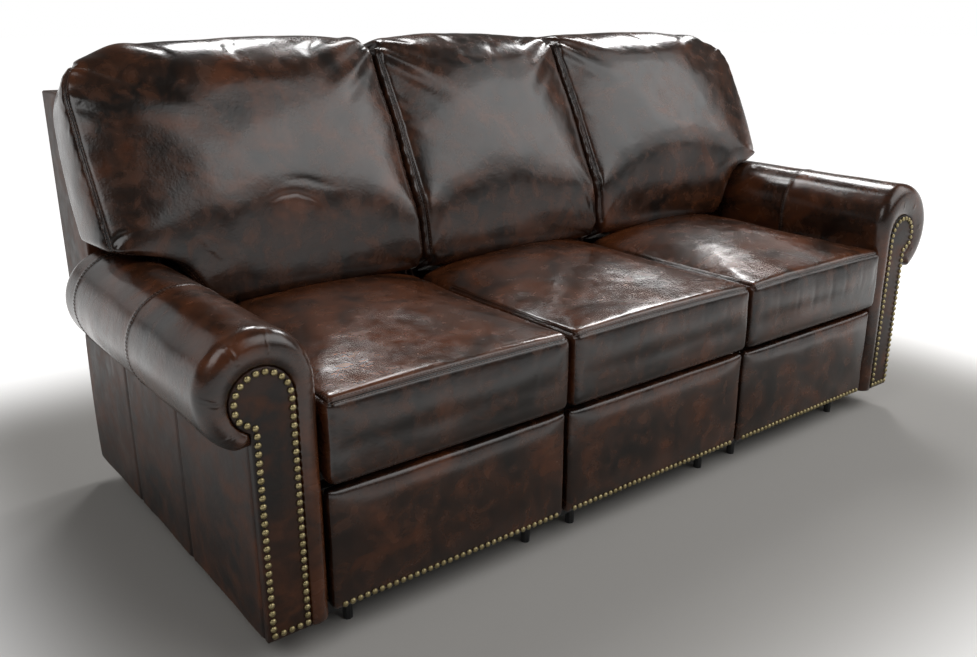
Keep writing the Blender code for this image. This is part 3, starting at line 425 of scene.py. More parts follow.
def smooth(value, start, end):
    """Rises smoothly from 0 at start to 1 at end."""
    share = np.clip((value - start) / (end - start), 0.0, 1.0)
    return share * share * (3.0 - 2.0 * share)


def filled(line, spacing):
    """A line of points filled in at an even spacing."""
    line = np.asarray(line, float)
    lengths = np.concatenate(([0.0], np.cumsum(np.linalg.norm(np.diff(line, axis=0), axis=1))))
    along = np.linspace(0.0, lengths[-1], max(2, round(lengths[-1] / spacing) + 1))
    return np.stack([np.interp(along, lengths, line[:, axis]) for axis in range(3)], axis=1)


def distance_to(spots, lines, spacing=0.0015):
    """Each point's distance to the nearest of the lines, whose points are taken at a spacing."""
    marks = np.concatenate([filled(line, spacing) for line in lines])
    finder = kdtree.KDTree(len(marks))
    for number, mark in enumerate(marks):
        finder.insert(mark, number)
    finder.balance()
    return np.array([finder.find(spot)[2] for spot in spots])


def ridge(distance, width):
    """1 on a line, falling to 0 over about its width."""
    return np.exp(-((distance / width) ** 2))


def swell(spots, size, seed):
    """Smooth noise from -1 to 1 at each point."""
    shift = Vector((seed * 3.1, seed * 1.7, seed * 2.3))
    return np.array([noise.noise(Vector(spot) / size + shift) for spot in spots])


def seamed(made, seams, depth, width=0.0045):
    """Draws the leather in along its seams, and marks how near they are for the stitch rows and the darkening
    towards them.
    """
    near = distance_to(read(made, "co"), seams)
    push(made, -depth * ridge(near, width))
    mark = made.data.attributes.new("seam", "FLOAT", "POINT")
    mark.data.foreach_set("value", np.clip(1.0 - near / SEAM_REACH, 0.0, 1.0).astype(np.float32))


def arm_section(share, inside, puff=0.0):
    """(x, z) round a right arm cover, from the foot of its inner wall over the roll and back inside the wall;
    share goes from 0 on the roll to 1 at the facing's edge, and puff swells the roll."""
    foot = ARM_INNER + share * (FACING_INNER - ARM_INNER)
    centre_x = ROLL_CENTRE[0] + share * (FACING_CENTRE[0] - ROLL_CENTRE[0])
    centre_z = ROLL_CENTRE[1] + share * (FACING_CENTRE[1] - ROLL_CENTRE[1])
    radius = ROLL_RADIUS + share * (FACING_RADIUS - ROLL_RADIUS)
    wall = [(foot, z) for z in (ARM_BOTTOM, *np.linspace(ARM_BOTTOM + 0.003, centre_z, 36)[:-1])]
    turns = np.radians(np.linspace(180.0, ROLL_TUCK, 90))
    reaches = radius + puff * smooth(turns, math.pi, math.pi / 2)
    roll = list(zip(centre_x + reaches * np.cos(turns), centre_z + reaches * np.sin(turns)))
    crease = ARM_CREASE + CREASE_LIFT
    return wall + roll + [(ARM_OUTER - CREASE_TUCK, crease), (inside, crease), (inside, ARM_BOTTOM)]


def roll_puff(arm, y):
    """How far an arm's padding swells its roll at y, from front to rear."""
    front, rear = ROLL_PUFF[arm]
    return front + (rear - front) * smooth(y, FRONT, ROLL_END)


def border_ring(bend):
    """(y, share) of the padded border at a bend: 0 where it leaves the roll, 90 degrees at its proudest."""
    share = (1.0 - math.cos(bend)) / (1.0 - math.cos(math.radians(BORDER_SWEEP)))
    return FRONT - BORDER_PROUD + BORDER_DEPTH * (1.0 - math.sin(bend)), share


ring_rows = [(FRONT + FACING_THICK, 1.0)]
ring_rows += [border_ring(bend) for bend in np.radians(np.linspace(BORDER_SWEEP, 0.0, 16))]
ring_rows += [(y, 0.0) for y in np.linspace(ring_rows[-1][0], ROLL_END - ROLL_END_ROUND, 60)[1:]]
for turn in np.radians((30.0, 60.0, 90.0)):
    drop = ROLL_END_ROUND * (1.0 - math.cos(turn))
    y = ROLL_END - ROLL_END_ROUND * (1.0 - math.sin(turn))
    ring_rows.append((y, drop / (ROLL_RADIUS - FACING_RADIUS)))
arm_joins = {}
for side, arm in SIDES:
    corners = []
    for y, share in ring_rows:
        deep = FRONT + FACING_THICK
        inside = FACING_INNER + 0.001 if y < deep else ARM_INNER + ARM_WALL
        section = arm_section(share, inside, roll_puff(arm, y) * (1.0 - share**3))
        corners += [(x, y, z) for x, z in section[:-3]] + [(x, max(y, deep), z) for x, z in section[-3:]]
    around = len(section)
    faces = []
    for start in range(0, len(corners) - around, around):
        for at in range(around):
            after = (at + 1) % around
            faces.append([start + after, start + at, start + around + at, start + around + after])
    faces.append(list(range(around)))
    faces.append(list(range(len(corners) - 1, len(corners) - around - 1, -1)))
    base = len(corners)
    wall = (ARM_INNER, ARM_INNER + ARM_WALL), (ROLL_END - WALL_LAP, ARM_REAR), (ARM_BOTTOM, ARM_REAR_TOP)
    corners += [(x, y, z) for x in wall[0] for y in wall[1] for z in wall[2]]
    for face in ((0, 1, 3, 2), (4, 6, 7, 5), (0, 4, 5, 1), (2, 3, 7, 6), (0, 2, 6, 4), (1, 5, 7, 3)):
        faces.append([base + at for at in face])
    first = HIDES["arm"] + 4 * side
    hides = [first + sum(corners[face[0]][1] >= join for join in ARM_JOINS) for face in faces]
    faces = faces if side > 0 else [face[::-1] for face in faces]
    corners = np.array(corners) * (side, 1.0, 1.0)
    cover = piece_of(f"{arm}_cover_leather", corners, faces, hides, leather, ARM_DYE_AND_LIGHT)
    refined(cover)
    joins = []
    for join in ARM_JOINS:
        section = arm_section(0.0, ARM_INNER + ARM_WALL, roll_puff(arm, join))
        joins.append([(side * x, join, z) for x, z in section[:-3]])
    pleats = []
    for turn in np.radians(PLEATS):
        line = []
        for bend in np.radians(np.linspace(35.0, 82.0, 9)):
            y, share = border_ring(bend)
            centre = np.array(ROLL_CENTRE) + share * (np.array(FACING_CENTRE) - np.array(ROLL_CENTRE))
            reach = ROLL_RADIUS + share * (FACING_RADIUS - ROLL_RADIUS)
            line.append((side * (centre[0] + reach * math.cos(turn)), y, centre[1] + reach * math.sin(turn)))
        pleats.append(line)
    spots = read(cover, "co")
    gathers = PLEAT_DEPTH * ridge(distance_to(spots, pleats), PLEAT_WIDTH)
    push(cover, ARM_UNEVEN * swell(spots, ARM_UNEVEN_SIZE, 5 + side) - gathers)
    seamed(cover, joins, ARM_JOIN_DEPTH)
    arm_joins[arm] = cover, joins
    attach(cover, "root")
    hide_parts(f"{arm}_cover")


# The outer side of each arm is a flat leather panel, three widths sewn together, pulled over the carcass and
# stapled under it; thin wadding rounds its edges, and behind the roll it drops to the arm's low rear end.
PANEL_JOINS = (-0.120, 0.180)
PANEL_JOIN_DEPTH = 0.003
PANEL_JOIN_WIDTH = 0.006
PANEL_EDGE = 0.010
PANEL_CELL = 0.009
PANEL_PILLOW = 0.003
PANEL_INNER = 0.96
PANEL_REACH = 0.012
PANEL_DROP = 0.004
PANEL_UNEVEN = 0.0018
PANEL_UNEVEN_SIZE = 0.09
# the side panel's colour shift, partly dye and partly painted shade
PANEL_DYE_AND_SHADE = -0.03
MARK_BESIDE = (-0.006, -0.002, 0.0, 0.002, 0.006)


def stops(low, high, cell, marks=()):
    """Lattice lines from low to high about a cell apart, with one on each mark and closer ones beside it."""
    breaks = [low, high]
    for mark in marks:
        breaks += [mark + beside for beside in MARK_BESIDE]
    breaks = sorted(value for value in breaks if low <= value <= high)
    lines = [low]
    for start, end in zip(breaks, breaks[1:]):
        lines += list(np.linspace(start, end, max(1, round((end - start) / cell)) + 1)[1:])
    return np.array(lines)


def edged(low, high, edge, cell, marks=()):
    """Lattice lines with finer cells across the rounded edges at both ends."""
    steps = edge * np.array([0.0, 0.2, 0.45, 0.7])
    middle = stops(low + edge, high - edge, cell, marks)
    return np.concatenate((low + steps, middle, (high - steps)[::-1]))


def shell(*lines):
    """The surface of a box cut by three sets of lattice lines: its corners, its quads, each corner's three
    line numbers, and a table from line numbers to corner."""
    counts = np.array([len(line) for line in lines])
    grid = np.stack(np.meshgrid(*[np.arange(count) for count in counts], indexing="ij"), axis=-1)
    surface = ((grid == 0) | (grid == counts - 1)).any(axis=-1)
    number = np.full(surface.shape, -1)
    number[surface] = np.arange(surface.sum())
    quads = []
    for axis in range(3):
        for end in (0, counts[axis] - 1):
            face = np.take(number, end, axis)
            around = face[:-1, :-1], face[1:, :-1], face[1:, 1:], face[:-1, 1:]
            quad = np.stack(around, axis=-1).reshape(-1, 4)
            quads.append(quad[:, ::-1] if (end == 0) != (axis == 1) else quad)
    at = grid[surface]
    corners = np.stack([np.asarray(lines[axis])[at[:, axis]] for axis in range(3)], axis=1)
    return corners, np.concatenate(quads), at, number


def rounded(spots, low, high, radii):
    """Rounds the edges and corners of a box of points by a radius along each axis; 0 keeps it square."""
    low, high, radii = (np.asarray(row, float) for row in (low, high, radii))
    core = np.where(radii > 0, np.clip(spots, low + radii, high - radii), spots)
    out = (spots - core) / np.maximum(radii, 1e-9)
    reach = np.linalg.norm(out, axis=1, keepdims=True)
    most = np.abs(out).max(axis=1, keepdims=True)
    return core + out * np.where(reach > 0, most / np.maximum(reach, 1e-9), 1.0) * radii


for side, arm in SIDES:
    low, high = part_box(f"{arm}_side_panel")
    high.y += PANEL_REACH
    lengthwise = edged(low.y, high.y, PANEL_EDGE, PANEL_CELL, PANEL_JOINS)
    upright = edged(low.z, high.z, PANEL_EDGE, PANEL_CELL)
    spots, quads, _, _ = shell(edged(low.x, high.x, PANEL_EDGE, 2 * PANEL_EDGE), lengthwise, upright)
    middles = spots[quads].mean(axis=1)[:, 1]
    hides = HIDES["side"] + 4 * side + (middles[:, None] >= np.array(PANEL_JOINS)).sum(axis=1)
    spots = rounded(spots, low, high, (PANEL_EDGE, PANEL_EDGE, 0.0))
    behind = smooth(spots[:, 1], ROLL_END - PANEL_DROP, ROLL_END + PANEL_DROP)
    height = (spots[:, 2] - low.z) / (high.z - low.z)
    spots[:, 2] -= behind * height * (high.z - ARM_REAR_TOP)
    outer = smooth(side * spots[:, 0], PANEL_INNER, ARM_OUTER - 0.001)
    spots[:, 0] += side * outer * PANEL_PILLOW * np.sin(np.pi * np.clip(height, 0, 1)) ** 0.5
    panel = piece_of(f"{arm}_side_leather", spots, quads, hides, split, PANEL_DYE_AND_SHADE)
    refined(panel)
    spots = read(panel, "co")
    push(panel, PANEL_UNEVEN * swell(spots * (1.0, 1.0, 0.4), PANEL_UNEVEN_SIZE, 9 + side))
    reach = side * (ARM_OUTER + PANEL_PILLOW)
    joins = [[(reach, join, low.z), (reach, join, high.z)] for join in PANEL_JOINS]
    seamed(panel, joins, PANEL_JOIN_DEPTH, PANEL_JOIN_WIDTH)
    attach(panel, "root")
    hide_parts(f"{arm}_side_panel")


# The facing is a leather-covered board, nailed to the front of the arm inside the gathered border; its edge
# follows the roll and then drops straight to the bottom.
FACING_ROLL = 0.004
FACING_PILLOW = 0.0015
FACING_PILLOW_RISE = 0.03
FACING_TOP_TURN = 86.0
# the facing's colour shift, partly dye and partly painted shade
FACING_DYE_AND_SHADE = -0.04


def facing_side(z):
    """The facing's inner and outer x at a height."""
    reach = np.sqrt(np.maximum(FACING_RADIUS**2 - (z - FACING_CENTRE[1]) ** 2, 0.0))
    inner = np.where(z > FACING_CENTRE[1], FACING_CENTRE[0] - reach, FACING_INNER)
    return inner, np.maximum(FACING_CENTRE[0] + reach, np.where(z > FACING_CENTRE[1], 0.0, ARM_OUTER))


turns = np.radians(np.linspace(0.0, FACING_TOP_TURN, 18))
heights = edged(ARM_BOTTOM, FACING_CENTRE[1], FACING_ROLL, 0.008)[:-5]
heights = np.concatenate((heights, FACING_CENTRE[1] + FACING_RADIUS * np.sin(turns)))
facing_lines = (edged(0.0, 1.0, 0.07, 0.12), np.linspace(0.0, FACING_THICK, 4), heights)
facing_spots, facing_quads, at, _ = shell(*facing_lines)
inner, outer = facing_side(facing_spots[:, 2])
facing_spots[:, 0] = inner + facing_spots[:, 0] * (outer - inner)
x, y, z = facing_spots.T
edge = np.minimum.reduce((x - inner, outer - x, z - ARM_BOTTOM, heights[-1] - z))
turned = 1.0 - np.clip(edge / FACING_ROLL, 0.0, 1.0)
sunk = FACING_ROLL * (1.0 - np.sqrt(1.0 - turned**2)) - FACING_PILLOW * smooth(edge, 0.0, FACING_PILLOW_RISE)
facing_spots[:, 1] = y + FRONT + np.where(at[:, 1] == 0, sunk, 0.0)

for side, arm in SIDES:
    quads = facing_quads if side > 0 else facing_quads[:, ::-1]
    spots = facing_spots * (side, 1.0, 1.0)
    facing = piece_of(f"{arm}_facing_leather", spots, quads, HIDES["facing"] + side, split, FACING_DYE_AND_SHADE)
    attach(facing, "root")
    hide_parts(f"{arm}_facing")


# Half-inch domed upholstery nails of antiqued brass run round both facings, almost touching; tarnish makes
# them satin and their colour uneven.
BRASS_BRIGHT = "#A99D78"
BRASS_DULL = "#6F6443"
TARNISH_SIZE = 0.02
NAIL_RADIUS = 0.0063
NAIL_HEIGHT = 0.0048
NAIL_PROUD = 0.0018
NAIL_PITCH = 0.0160
NAIL_INSET = 0.008
NAIL_SIDE_INSET = 0.002
NAIL_RISE = 0.013
NAIL_NECK = 0.473
NAIL_TURNS = (180.0, -35.0)
brass = bpy.data.materials.new("antiqued_brass")
brass.use_nodes = True
tree = brass.node_tree
shader = tree.nodes["Principled BSDF"]
shader.inputs["Metallic"].default_value = 1.0
where = add_node(tree, "ShaderNodeTexCoord").outputs["Object"]
tarnish = add_node(tree, "ShaderNodeTexNoise", {"Vector": where, "Scale": 1 / TARNISH_SIZE, "Detail": 4.0})
tones = {"Factor": tarnish.outputs["Fac"], "A": linear(BRASS_BRIGHT), "B": linear(BRASS_DULL)}
tones = add_node(tree, "ShaderNodeMix", tones, data_type="RGBA")
satin = {"Value": tarnish.outputs["Fac"], "To Min": 0.30, "To Max": 0.50}
satin = add_node(tree, "ShaderNodeMapRange", satin)
tree.links.new(tones.outputs["Result"], shader.inputs["Base Color"])
tree.links.new(satin.outputs[0], shader.inputs["Roughness"])

STUD_INPUTS = {
    "Size": "Vector",
    "Segments": "Int",
    "Rings": "Int",
    "Least": "Float",
    "Seed": "Int",
    "Finish": "Material",
}
studs = bpy.data.node_groups.new("studs_along_a_line", "GeometryNodeTree")
studs.interface.new_socket("Points", in_out="INPUT", socket_type="NodeSocketGeometry")
sockets = {}
for label, kind in STUD_INPUTS.items():
    socket = studs.interface.new_socket(label, in_out="INPUT", socket_type=f"NodeSocket{kind}")
    sockets[label] = socket.identifier
studs.interface.new_socket("Studs", in_out="OUTPUT", socket_type="NodeSocketGeometry")
given = add_node(studs, "NodeGroupInput").outputs
ball = add_node(studs, "GeometryNodeMeshUVSphere", {"Segments": given["Segments"], "Rings": given["Rings"]})
up = add_node(studs, "GeometryNodeInputNamedAttribute", {"Name": "outward"}, data_type="FLOAT_VECTOR")
along = add_node(studs, "GeometryNodeInputNamedAttribute", {"Name": "along"}, data_type="FLOAT_VECTOR")
stood = add_node(studs, "FunctionNodeAlignRotationToVector", {"Vector": up.outputs[0]}, axis="Z")
turned = {"Rotation": stood.outputs[0], "Vector": along.outputs[0]}
turned = add_node(studs, "FunctionNodeAlignRotationToVector", turned, axis="X", pivot_axis="Z")
vary = {"Min": given["Least"], "Max": 1.0, "Seed": given["Seed"]}
vary = add_node(studs, "FunctionNodeRandomValue", vary, data_type="FLOAT")
scaled = {0: given["Size"], "Scale": vary.outputs["Value"]}
scaled = add_node(studs, "ShaderNodeVectorMath", scaled, operation="SCALE")
placed = {"Points": given["Points"], "Instance": ball.outputs["Mesh"]}
placed |= {"Rotation": turned.outputs[0], "Scale": scaled.outputs[0]}
placed = add_node(studs, "GeometryNodeInstanceOnPoints", placed)
whole = add_node(studs, "GeometryNodeRealizeInstances", {"Geometry": placed.outputs[0]})
shaded = add_node(studs, "GeometryNodeSetShadeSmooth", {"Geometry": whole.outputs[0]})
painted = {"Geometry": shaded.outputs[0], "Material": given["Finish"]}
painted = add_node(studs, "GeometryNodeSetMaterial", painted)
add_node(studs, "NodeGroupOutput", {"Studs": painted.outputs[0]})


def set_studs(name, spots, outward, along, **sizes):
    """One plain mesh of studs, one on each point."""
    mesh = bpy.data.meshes.new(name)
    mesh.from_pydata(np.asarray(spots).tolist(), [], [])
    for label, rows in (("outward", outward), ("along", along)):
        ways = mesh.attributes.new(label, "FLOAT_VECTOR", "POINT")
        ways.data.foreach_set("vector", np.broadcast_to(rows, (len(spots), 3)).astype(np.float32).ravel())
    made = bpy.data.objects.new(name, mesh)
    scene.collection.objects.link(made)
    grown = made.modifiers.new("studs", "NODES")
    grown.node_group = studs
    for socket, value in sizes.items():
        grown[sockets[socket]] = value
    graph = bpy.context.evaluated_depsgraph_get()
    made.data = bpy.data.meshes.new_from_object(made.evaluated_get(graph))
    made.modifiers.clear()
    return made


nail_inner = FACING_INNER + NAIL_INSET
nail_outer = ARM_OUTER - NAIL_INSET - NAIL_SIDE_INSET
nail_low = ARM_BOTTOM + NAIL_RISE
nail_reach = FACING_RADIUS - NAIL_INSET
nail_y = FRONT - NAIL_PROUD
nail_line = [(nail_inner, nail_y, nail_low), (nail_inner, nail_y, FACING_CENTRE[1])]
for turn in np.radians(np.linspace(*NAIL_TURNS, 40)):
    x, z = FACING_CENTRE[0] + nail_reach * math.cos(turn), FACING_CENTRE[1] + nail_reach * math.sin(turn)
    nail_line.append((x, nail_y, z))
nail_line += [(nail_outer, nail_y, NAIL_NECK), (nail_outer, nail_y, nail_low), (nail_inner, nail_y, nail_low)]
heads = filled(nail_line, NAIL_PITCH)[:-1]
heads = np.concatenate((heads * (-1, 1, 1), heads))
NAIL = {"Size": (NAIL_RADIUS, NAIL_RADIUS, NAIL_HEIGHT), "Segments": 14, "Rings": 8, "Least": 0.97}
NAIL["Finish"] = brass
arm_nails = set_studs("arm_nail_heads", heads, (0, -1, 0), (1, 0, 0), Seed=3, **NAIL)
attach(arm_nails, "root")


# Each footrest is a plywood board under wadding, covered in one piece of leather whose top corners are folded
# into small ears; a row of the same nails holds it along the bottom.
SEATS = ("left", "centre", "right")
PAD_CELL = 0.012
PAD_SIDE_CELL = 0.008
PAD_FACE = (0.004, 0.006)
PAD_UNEVEN = 0.0016
PAD_UNEVEN_SIZE = 0.07
# the footrest cover's colour shift, partly dye and partly painted shade
PAD_DYE_AND_SHADE = -0.02
PAD_EDGES = (0.009, 0.011, 0.014)
PAD_CROWN = 0.007
PAD_EAR = 0.004
PAD_RISE = 0.006
PAD_NAIL_RISE = 0.010
PAD_NAIL_INSET = 0.022
for order, seat in enumerate(SEATS):
    low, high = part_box(f"{seat}_footrest_pad")
    high.z += PAD_RISE
    crosswise = edged(low.x, high.x, PAD_EDGES[2], PAD_CELL)
    upright = edged(low.z, high.z, PAD_EDGES[2], PAD_CELL)
    spots, quads, _, _ = shell(crosswise, edged(low.y, high.y, PAD_SIDE_CELL, PAD_SIDE_CELL), upright)
    spots = rounded(spots, low, (high.x, high.y + PAD_EDGES[1], high.z), PAD_EDGES)
    across = 2.0 * (spots[:, 0] - low.x) / (high.x - low.x) - 1.0
    height = (spots[:, 2] - low.z) / (high.z - low.z)
    facing = smooth(spots[:, 1], high.y - PAD_FACE[0], low.y + PAD_FACE[1])
    crown = (1.0 - np.abs(across) ** 6) * smooth(height, 0.0, 0.3) * smooth(height, 1.0, 0.85)
    spots[:, 1] -= facing * PAD_CROWN * crown
    ear = smooth(np.abs(across), 0.93, 1.0) * smooth(height, 0.9, 1.0)
    spots[:, 2] += facing * PAD_EAR * ear
    spots[:, 1] -= PAD_EAR * 0.6 * ear
    hide = HIDES["footrest"] + order
    pad = piece_of(f"{seat}_footrest_leather", spots, quads, hide, leather, PAD_DYE_AND_SHADE)
    refined(pad)
    spots = read(pad, "co")
    facing = smooth(spots[:, 1], high.y - PAD_FACE[0], low.y + PAD_FACE[1])
    push(pad, PAD_UNEVEN * swell(spots, PAD_UNEVEN_SIZE, 50 + order) * facing)
    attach(pad, f"{seat}_footrest")
    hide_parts(f"{seat}_footrest_pad")
    row = low.z + PAD_NAIL_RISE
    line = [(low.x + PAD_NAIL_INSET, low.y, row), (high.x - PAD_NAIL_INSET, low.y, row)]
    heads = filled(line, NAIL_PITCH)
    heads[:, 1] = [pad.closest_point_on_mesh(Vector(head))[1].y - NAIL_PROUD / 2 for head in heads]
    nails = set_studs(f"{seat}_footrest_nail_heads", heads, (0, -1, 0), (1, 0, 0), Seed=5 + order, **NAIL)
    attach(nails, f"{seat}_footrest")


# Each seat is a foam block wrapped in fibre and covered in leather: a top panel sewn to a deep front border
# by a double row of stitches, which turns back along both sides. It crowns in the middle and is flat below.
SEAT_SEAM = 0.492
SEAT_SEAM_DEPTH = 0.0026
SEAT_CROWN = 0.040
SEAT_CROWN_BACK = 0.42
SEAT_EDGES = (0.018, 0.026, 0.024)
SEAT_SIDE_EDGE = 0.020
SEAT_CELL = 0.012
BORDER_CELL = 0.011
SEAT_LIP_BACK = 0.055
SEAT_LIP_STEP = 0.012
SEAT_REST = 0.364
SEAT_BULGE = 0.003
SEAT_SWELL = 0.012
BORDER_SWELL = 0.4
SEAT_UNEVEN = 0.003
SEAT_UNEVEN_SIZE = 0.13
SEAT_RIPPLE = 0.0005
SEAT_RIPPLE_SIZE = 0.03
# the top panel's colour shift, partly dye and partly painted light, and the front border's, partly dye and
# partly painted shade
SEAT_DYE_AND_LIGHT = 0.10
BORDER_DYE_AND_SHADE = -0.07
SEAT_DRAPES = (0.06, 0.17, 0.31, 0.44, 0.58, 0.69, 0.83, 0.95)
DRAPE_TOP = 0.028
DRAPE_LEAN = 0.012
DRAPE_RISE = 0.035
DRAPE_DEPTH = 0.0010
DRAPE_WIDTH = 0.007
FILL_PRESSURE = 4.0
FILL_FRAMES = 20
STITCH_BESIDE = 0.0042
STITCH_PITCH = 0.0075
STITCH_SIZE = (0.0026, 0.0008, 0.0007)
THREAD_WEAR_SIZE = 1 / 60.0
THREAD_COLOUR = "#2E1D16"
THREAD_WORN = "#5B4030"
thread = bpy.data.materials.new("waxed_thread")
thread.use_nodes = True
tree = thread.node_tree
shader = tree.nodes["Principled BSDF"]
shader.inputs["Roughness"].default_value = 0.55
where = add_node(tree, "ShaderNodeTexCoord").outputs["Object"]
worn = add_node(tree, "ShaderNodeTexNoise", {"Vector": where, "Scale": 1 / THREAD_WEAR_SIZE, "Detail": 2.0})
tones = {"Factor": worn.outputs["Fac"], "A": linear(THREAD_COLOUR), "B": linear(THREAD_WORN)}
tones = add_node(tree, "ShaderNodeMix", tones, data_type="RGBA")
tree.links.new(tones.outputs["Result"], shader.inputs["Base Color"])
STITCH = {"Size": STITCH_SIZE, "Segments": 6, "Rings": 4, "Least": 0.85, "Seed": 11, "Finish": thread}


def stuffed(made, held, most):
    """Blows a cover up as its filling does: held corners stay in place, and none moves further than most."""
    start = read(made, "co")
    pins = made.vertex_groups.new(name="held")
    for number, weight in enumerate(held):
        pins.add([number], float(weight), "REPLACE")
    cloth = made.modifiers.new("filling", "CLOTH")
    cloth.settings.vertex_group_mass = "held"
    cloth.settings.use_pressure = True
    cloth.settings.uniform_pressure_force = FILL_PRESSURE
    cloth.settings.effector_weights.gravity = 0.0
    for count in range(1, FILL_FRAMES + 1):
        scene.frame_set(count)
    graph = bpy.context.evaluated_depsgraph_get()
    blown = made.evaluated_get(graph)
    ends = np.empty(len(start) * 3, np.float32)
    blown.data.vertices.foreach_get("co", ends)
    made.modifiers.clear()
    made.vertex_groups.clear()
    scene.frame_set(1)
    moved = ends.reshape(-1, 3) - start
    length = np.linalg.norm(moved, axis=1, keepdims=True)
    put(made, start + moved * np.minimum(1.0, most / np.maximum(length, 1e-9)))


def creased(made, lines, depth, width):
    """Presses folds into a cover along lines of points near it, fading to both ends."""
    spots = read(made, "co")
    for line in lines:
        marks = np.array([made.closest_point_on_mesh(Vector(mark))[1] for mark in filled(line, 0.004)])
        away = np.linalg.norm(spots[:, None] - marks, axis=2)
        fade = np.sin(np.pi * np.linspace(0.04, 0.96, len(marks)))[away.argmin(axis=1)]
        push(made, -depth * fade * ridge(away.min(axis=1), width))


def stitched(name, made, rows, beside=(-STITCH_BESIDE, STITCH_BESIDE)):
    """Stitches on a piece along lines of points, at distances beside each line."""
    spots, outward, along = [], [], []
    for row in rows:
        marks = filled(row, STITCH_PITCH)
        ways = np.gradient(marks, axis=0)
        for mark, way in zip(marks, ways):
            normal = made.closest_point_on_mesh(Vector(mark))[2]
            way = Vector(way).normalized()
            for offset in beside:
                found = made.closest_point_on_mesh(Vector(mark) + way.cross(normal) * offset)
                spots.append(found[1])
                outward.append(found[2])
                along.append(way)
    return set_studs(name, spots, outward, along, **STITCH)


for order, seat in enumerate(SEATS):
    low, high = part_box(f"{seat}_seat_cushion")
    crosswise = edged(low.x, high.x, SEAT_SIDE_EDGE, SEAT_CELL)
    lengthwise = edged(low.y, high.y, SEAT_EDGES[1], SEAT_CELL)
    upright = edged(low.z, SEAT_SEAM, SEAT_EDGES[2], BORDER_CELL)
    spots, quads, at, number = shell(crosswise, lengthwise, upright)
    border = spots[quads].mean(axis=1)[:, 1] < low.y + 1e-6
    spots = rounded(spots, low, (high.x, high.y, SEAT_SEAM), SEAT_EDGES)
    across = 2.0 * (spots[:, 0] - low.x) / (high.x - low.x) - 1.0
    height = (spots[:, 2] - low.z) / (SEAT_SEAM - low.z)
    back = spots[:, 1] - low.y
    behind = smooth(back, SEAT_LIP_BACK - SEAT_LIP_STEP, SEAT_LIP_BACK)
    spots[:, 2] += behind * (1.0 - height) * (SEAT_REST - low.z)
    crown = 0.1 * smooth(back, 0.0, 0.02) + 0.9 * np.clip(back / SEAT_CROWN_BACK, 0.0, 1.0)
    crown *= 1.0 - np.abs(across) ** 2.6
    spots[:, 2] += smooth(height, 0.55, 1.0) * SEAT_CROWN * crown
    bulge = (1.0 - np.abs(across) ** 4.0) * np.sin(np.pi * np.clip(height, 0.0, 1.0))
    spots[:, 1] -= SEAT_BULGE * bulge * smooth(back, 0.03, 0.0)
    # painted light on the top panel and painted shade on the front border, over their dyes
    tones = np.where(border, BORDER_DYE_AND_SHADE, SEAT_DYE_AND_LIGHT)
    hides = HIDES["seat"] + order + 4 * border
    seat_piece = piece_of(f"{seat}_seat_leather", spots, quads, hides, leather, tones)
    deep = number.shape[1] * 3 // 4
    seam = np.concatenate((number[0, deep:0:-1, -1], number[:, 0, -1], number[-1, 1:deep, -1]))
    resting = 1.0 - smooth(spots[:, 2], SEAT_REST + 0.005, SEAT_REST + 0.06)
    held = np.maximum.reduce((resting, smooth(back, 0.50, 0.56), smooth(np.abs(across), 0.985, 1.0)))
    held[seam] = 1.0
    most = SEAT_SWELL * np.maximum(smooth(back, 0.0, 0.40), BORDER_SWELL * (at[:, 1] == 0))
    stuffed(seat_piece, held, most[:, None])
    refined(seat_piece)
    spots = read(seat_piece, "co")
    free = smooth(spots[:, 2], SEAT_REST, SEAT_REST + 0.03)
    uneven = SEAT_UNEVEN * swell(spots, SEAT_UNEVEN_SIZE, 60 + order)
    uneven += SEAT_RIPPLE * swell(spots * (1.0, 1.0, 0.35), SEAT_RIPPLE_SIZE, 70 + order)
    push(seat_piece, uneven * free)
    drapes = []
    for share in SEAT_DRAPES:
        x = low.x + share * (high.x - low.x)
        foot = x + DRAPE_LEAN * (0.5 - share), low.y, SEAT_REST + DRAPE_RISE * share
        drapes.append([(x, low.y, SEAT_SEAM - DRAPE_TOP), foot])
    creased(seat_piece, drapes, DRAPE_DEPTH, DRAPE_WIDTH)
    seam = read(seat_piece, "co")[seam]
    seamed(seat_piece, [seam], SEAT_SEAM_DEPTH)
    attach(seat_piece, "root")
    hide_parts(f"{seat}_seat_cushion")
    stitches = stitched(f"{seat}_seat_stitches", seat_piece, [seam])
    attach(stitches, "root")


# The cross joins of the arm rolls are top-stitched on both sides.
JOIN_BESIDE = 0.0038
for arm, (cover, joins) in arm_joins.items():
    stitches = stitched(f"{arm}_stitches", cover, joins, (-JOIN_BESIDE, JOIN_BESIDE))
    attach(stitches, "root")


# Each back is a fibre-filled cushion laced to the reclining frame: a crowned face that falls over the top in
# one piece, with side boxings sewn to it in gathers; the end ones have a wing that lies over the arm.
LEAN = math.radians(26.5)
BACK_FOOT = (0.030, 0.518)
BACK_HEIGHT = 0.618
BACK_BOXING = 0.100
BACK_FULL = 0.040
BACK_CROWN = 0.008
BACK_REST = 0.019
BACK_SETTLE = 0.024
BACK_ARCH = 0.012
BACK_EDGES = (0.022, 0.036, 0.052)
BACK_CORNERS = {"outer": 0.130, "inner": 0.045, "foot": 0.030}
BACK_TOP_EDGE = 0.050
BACK_CELL = 0.013
BOXING_CELL = 0.014
BACK_SWELL = 0.026
BACK_UNEVEN = 0.004
BACK_UNEVEN_SIZE = 0.16
BACK_RIPPLE = 0.0008
BACK_RIPPLE_SIZE = 0.06
# the back cushion's colour shift, partly dye and partly painted shade
BACK_DYE_AND_SHADE = -0.03
BACK_SEAM_DEPTH = 0.004
BACK_SEAM_WIDTH = 0.006
BOXING_PUFF = 0.004
